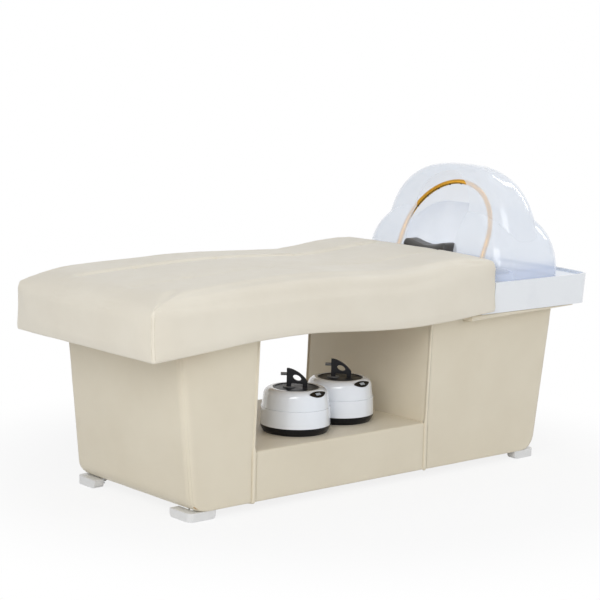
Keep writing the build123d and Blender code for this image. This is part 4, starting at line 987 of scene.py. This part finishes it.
dress(moulded_finish("hose rubber", (52, 53, 55), (66, 66, 66), 0.5, 0.7, 30), "hose_rubber")
dress(moulded_finish("pump housing", (38, 44, 58), (52, 56, 66), 0.35, 0.5, 20), "pump_plastic")

# Neck rest. A dark moulded gel cushion with a dip for the neck, on a white plastic support
# that stands on the deck in front of the bowl.
neck_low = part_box("neck_rest")[0]
neck_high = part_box("neck_rest")[1]


def neck_spot(x, y, rise):
    """Spot of the neck rest shell: level below, dipped above, and rounded all over."""
    half = (neck_high.y - neck_low.y) / 2
    dip = 0.015 * math.cos(min(abs(y) / (half * 0.86), 1) * math.pi / 2) ** 1.3
    shoulder = 0.012 * max(0, (abs(y) - half * 0.86) / (half * 0.14)) ** 2
    deep = neck_high.z - neck_low.z - dip - shoulder
    spot = rounded(
        (x, y, rise * deep), (neck_low.x, neck_low.y, 0), (neck_high.x, neck_high.y, deep),
        (0.010, 0.008, 0.004), (0.010, 0.008, 0.012),
    )
    spot.z += neck_low.z
    return spot


neck_lines = [
    steps(neck_low.x, neck_high.x, 0.0032), steps(neck_low.y, neck_high.y, 0.004), steps(0, 1, 0.08),
]
neck_gel = moulded_finish(
    "neck rest gel", (58, 56, 54), (70, 68, 64), 0.30, 0.46, 26, 0.12, Coat_Weight=0.25,
)
neck_rest = lattice("neck_rest_cushion", neck_lines, neck_spot, neck_gel)
held = [vertex.index for vertex in neck_rest.data.vertices if vertex.co.z < neck_low.z + 0.003]
stuffed(neck_rest, held, 0.0015)
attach(neck_rest, "bed")
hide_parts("neck_rest")

# Water ring. Gold-plated tube bent to an arch, leaning back over the bowl on two white
# brackets, with grey knobs at its pivots and small rubber spray nozzles on its inner side.
dress(
    moulded_finish("gold tube", (226, 168, 62), (206, 146, 52), 0.12, 0.24, 30, 0.04, Metallic=1.0),
    "gold_tube",
)
dress(moulded_finish("nozzle rubber", (70, 66, 58), (84, 80, 70), 0.5, 0.65, 60), "nozzle_rubber")

# Steam hood. Two rounded tiers blown from one sheet of clear acrylic with a pale blue cast,
# with an arched opening for the neck and a soft clear seal on every free edge.


def clear_finish(name, colour, gloss, cover, edge_cover):
    """Clear sheet that shows more of itself at a grazing look."""
    made = moulded_finish(
        name, colour, colour, gloss, gloss * 1.6, 4, 0.02,
        IOR=1.6, Coat_Weight=1.0, Coat_Roughness=0.02,
    )
    tree = made.node_tree
    facing = tree.nodes.new("ShaderNodeLayerWeight")
    facing.inputs["Blend"].default_value = 0.30
    solid_share = tree.nodes.new("ShaderNodeMapRange")
    solid_share.inputs["To Min"].default_value = cover
    solid_share.inputs["To Max"].default_value = edge_cover
    tree.links.new(facing.outputs["Facing"], solid_share.inputs["Value"])
    tree.links.new(solid_share.outputs[0], tree.nodes["Principled BSDF"].inputs["Alpha"])
    return made


# The foot of the hood turns darker, bluer and less clear towards the deck: a blue edge tint of the
# acrylic with painted shade of the deck seen through the sheet.
foot_band = (0.658, 0.688)
hood_finish = clear_finish("clear hood acrylic", (244, 249, 255), 0.05, 0.31, 0.55)
tree = hood_finish.node_tree
haze_and_glow = tree.nodes["Principled BSDF"]
hood_place = tree.nodes.new("ShaderNodeTexCoord")
axes = tree.nodes.new("ShaderNodeSeparateXYZ")
tree.links.new(hood_place.outputs["Object"], axes.inputs[0])
edge_tint_and_shade = ranged(tree, axes.outputs["Z"], 1.0, 0.0, *foot_band)
pale = haze_and_glow.inputs["Base Color"].links[0].from_socket
tree.links.new(blend_colours(tree, edge_tint_and_shade, pale, linear(206, 218, 242)), haze_and_glow.inputs["Base Color"])
cover = haze_and_glow.inputs["Alpha"].links[0].from_socket
band_cover = calculate(tree, "MULTIPLY", edge_tint_and_shade, 0.34)
tree.links.new(calculate(tree, "MAXIMUM", cover, band_cover), haze_and_glow.inputs["Alpha"])
# A faint blue-white glow over the whole hood: painted light standing in for light scattered in the clear
# sheet.
haze_and_glow.inputs["Emission Color"].default_value = linear(232, 240, 255)
haze_and_glow.inputs["Emission Strength"].default_value = 0.10
dress(hood_finish, "clear_acrylic")
dress(clear_finish("clear seal", (226, 232, 242), 0.25, 0.45, 0.9), "clear_seal")

# Steamers. Two electric herb pots: black moulded base, glossy white lower and upper shells with
# a step between them, steel kettle, black recessed lid with an arched handle and a steam
# outlet, and a leaf-shaped control panel on the near shoulder.
dress(
    moulded_finish(
        "white shell", (242, 247, 254), (236, 241, 249), 0.08, 0.16, 8, 0.02,
        Coat_Weight=0.8, Coat_Roughness=0.03,
    ),
    "white_shell",
)
dress(
    moulded_finish(
        "black plastic", (15, 16, 21), (24, 25, 30), 0.32, 0.48, 30, 0.10, Specular_IOR_Level=0.3,
    ),
    "black_plastic",
)
dress(
    moulded_finish(
        "black panel", (10, 11, 14), (17, 18, 22), 0.12, 0.2, 30, 0.02, Specular_IOR_Level=0.35,
    ),
    "black_gloss",
)
dress(moulded_finish("silicone", (24, 24, 27), (34, 34, 37), 0.5, 0.65, 40), "black_rubber")
dress(
    moulded_finish("cast aluminium", (168, 170, 172), (140, 142, 144), 0.35, 0.5, 60, 0.3, Metallic=1.0),
    "cast_aluminium",
)
dress(moulded_finish("display face", (176, 184, 192), (160, 168, 178), 0.12, 0.2, 40), "display_face")
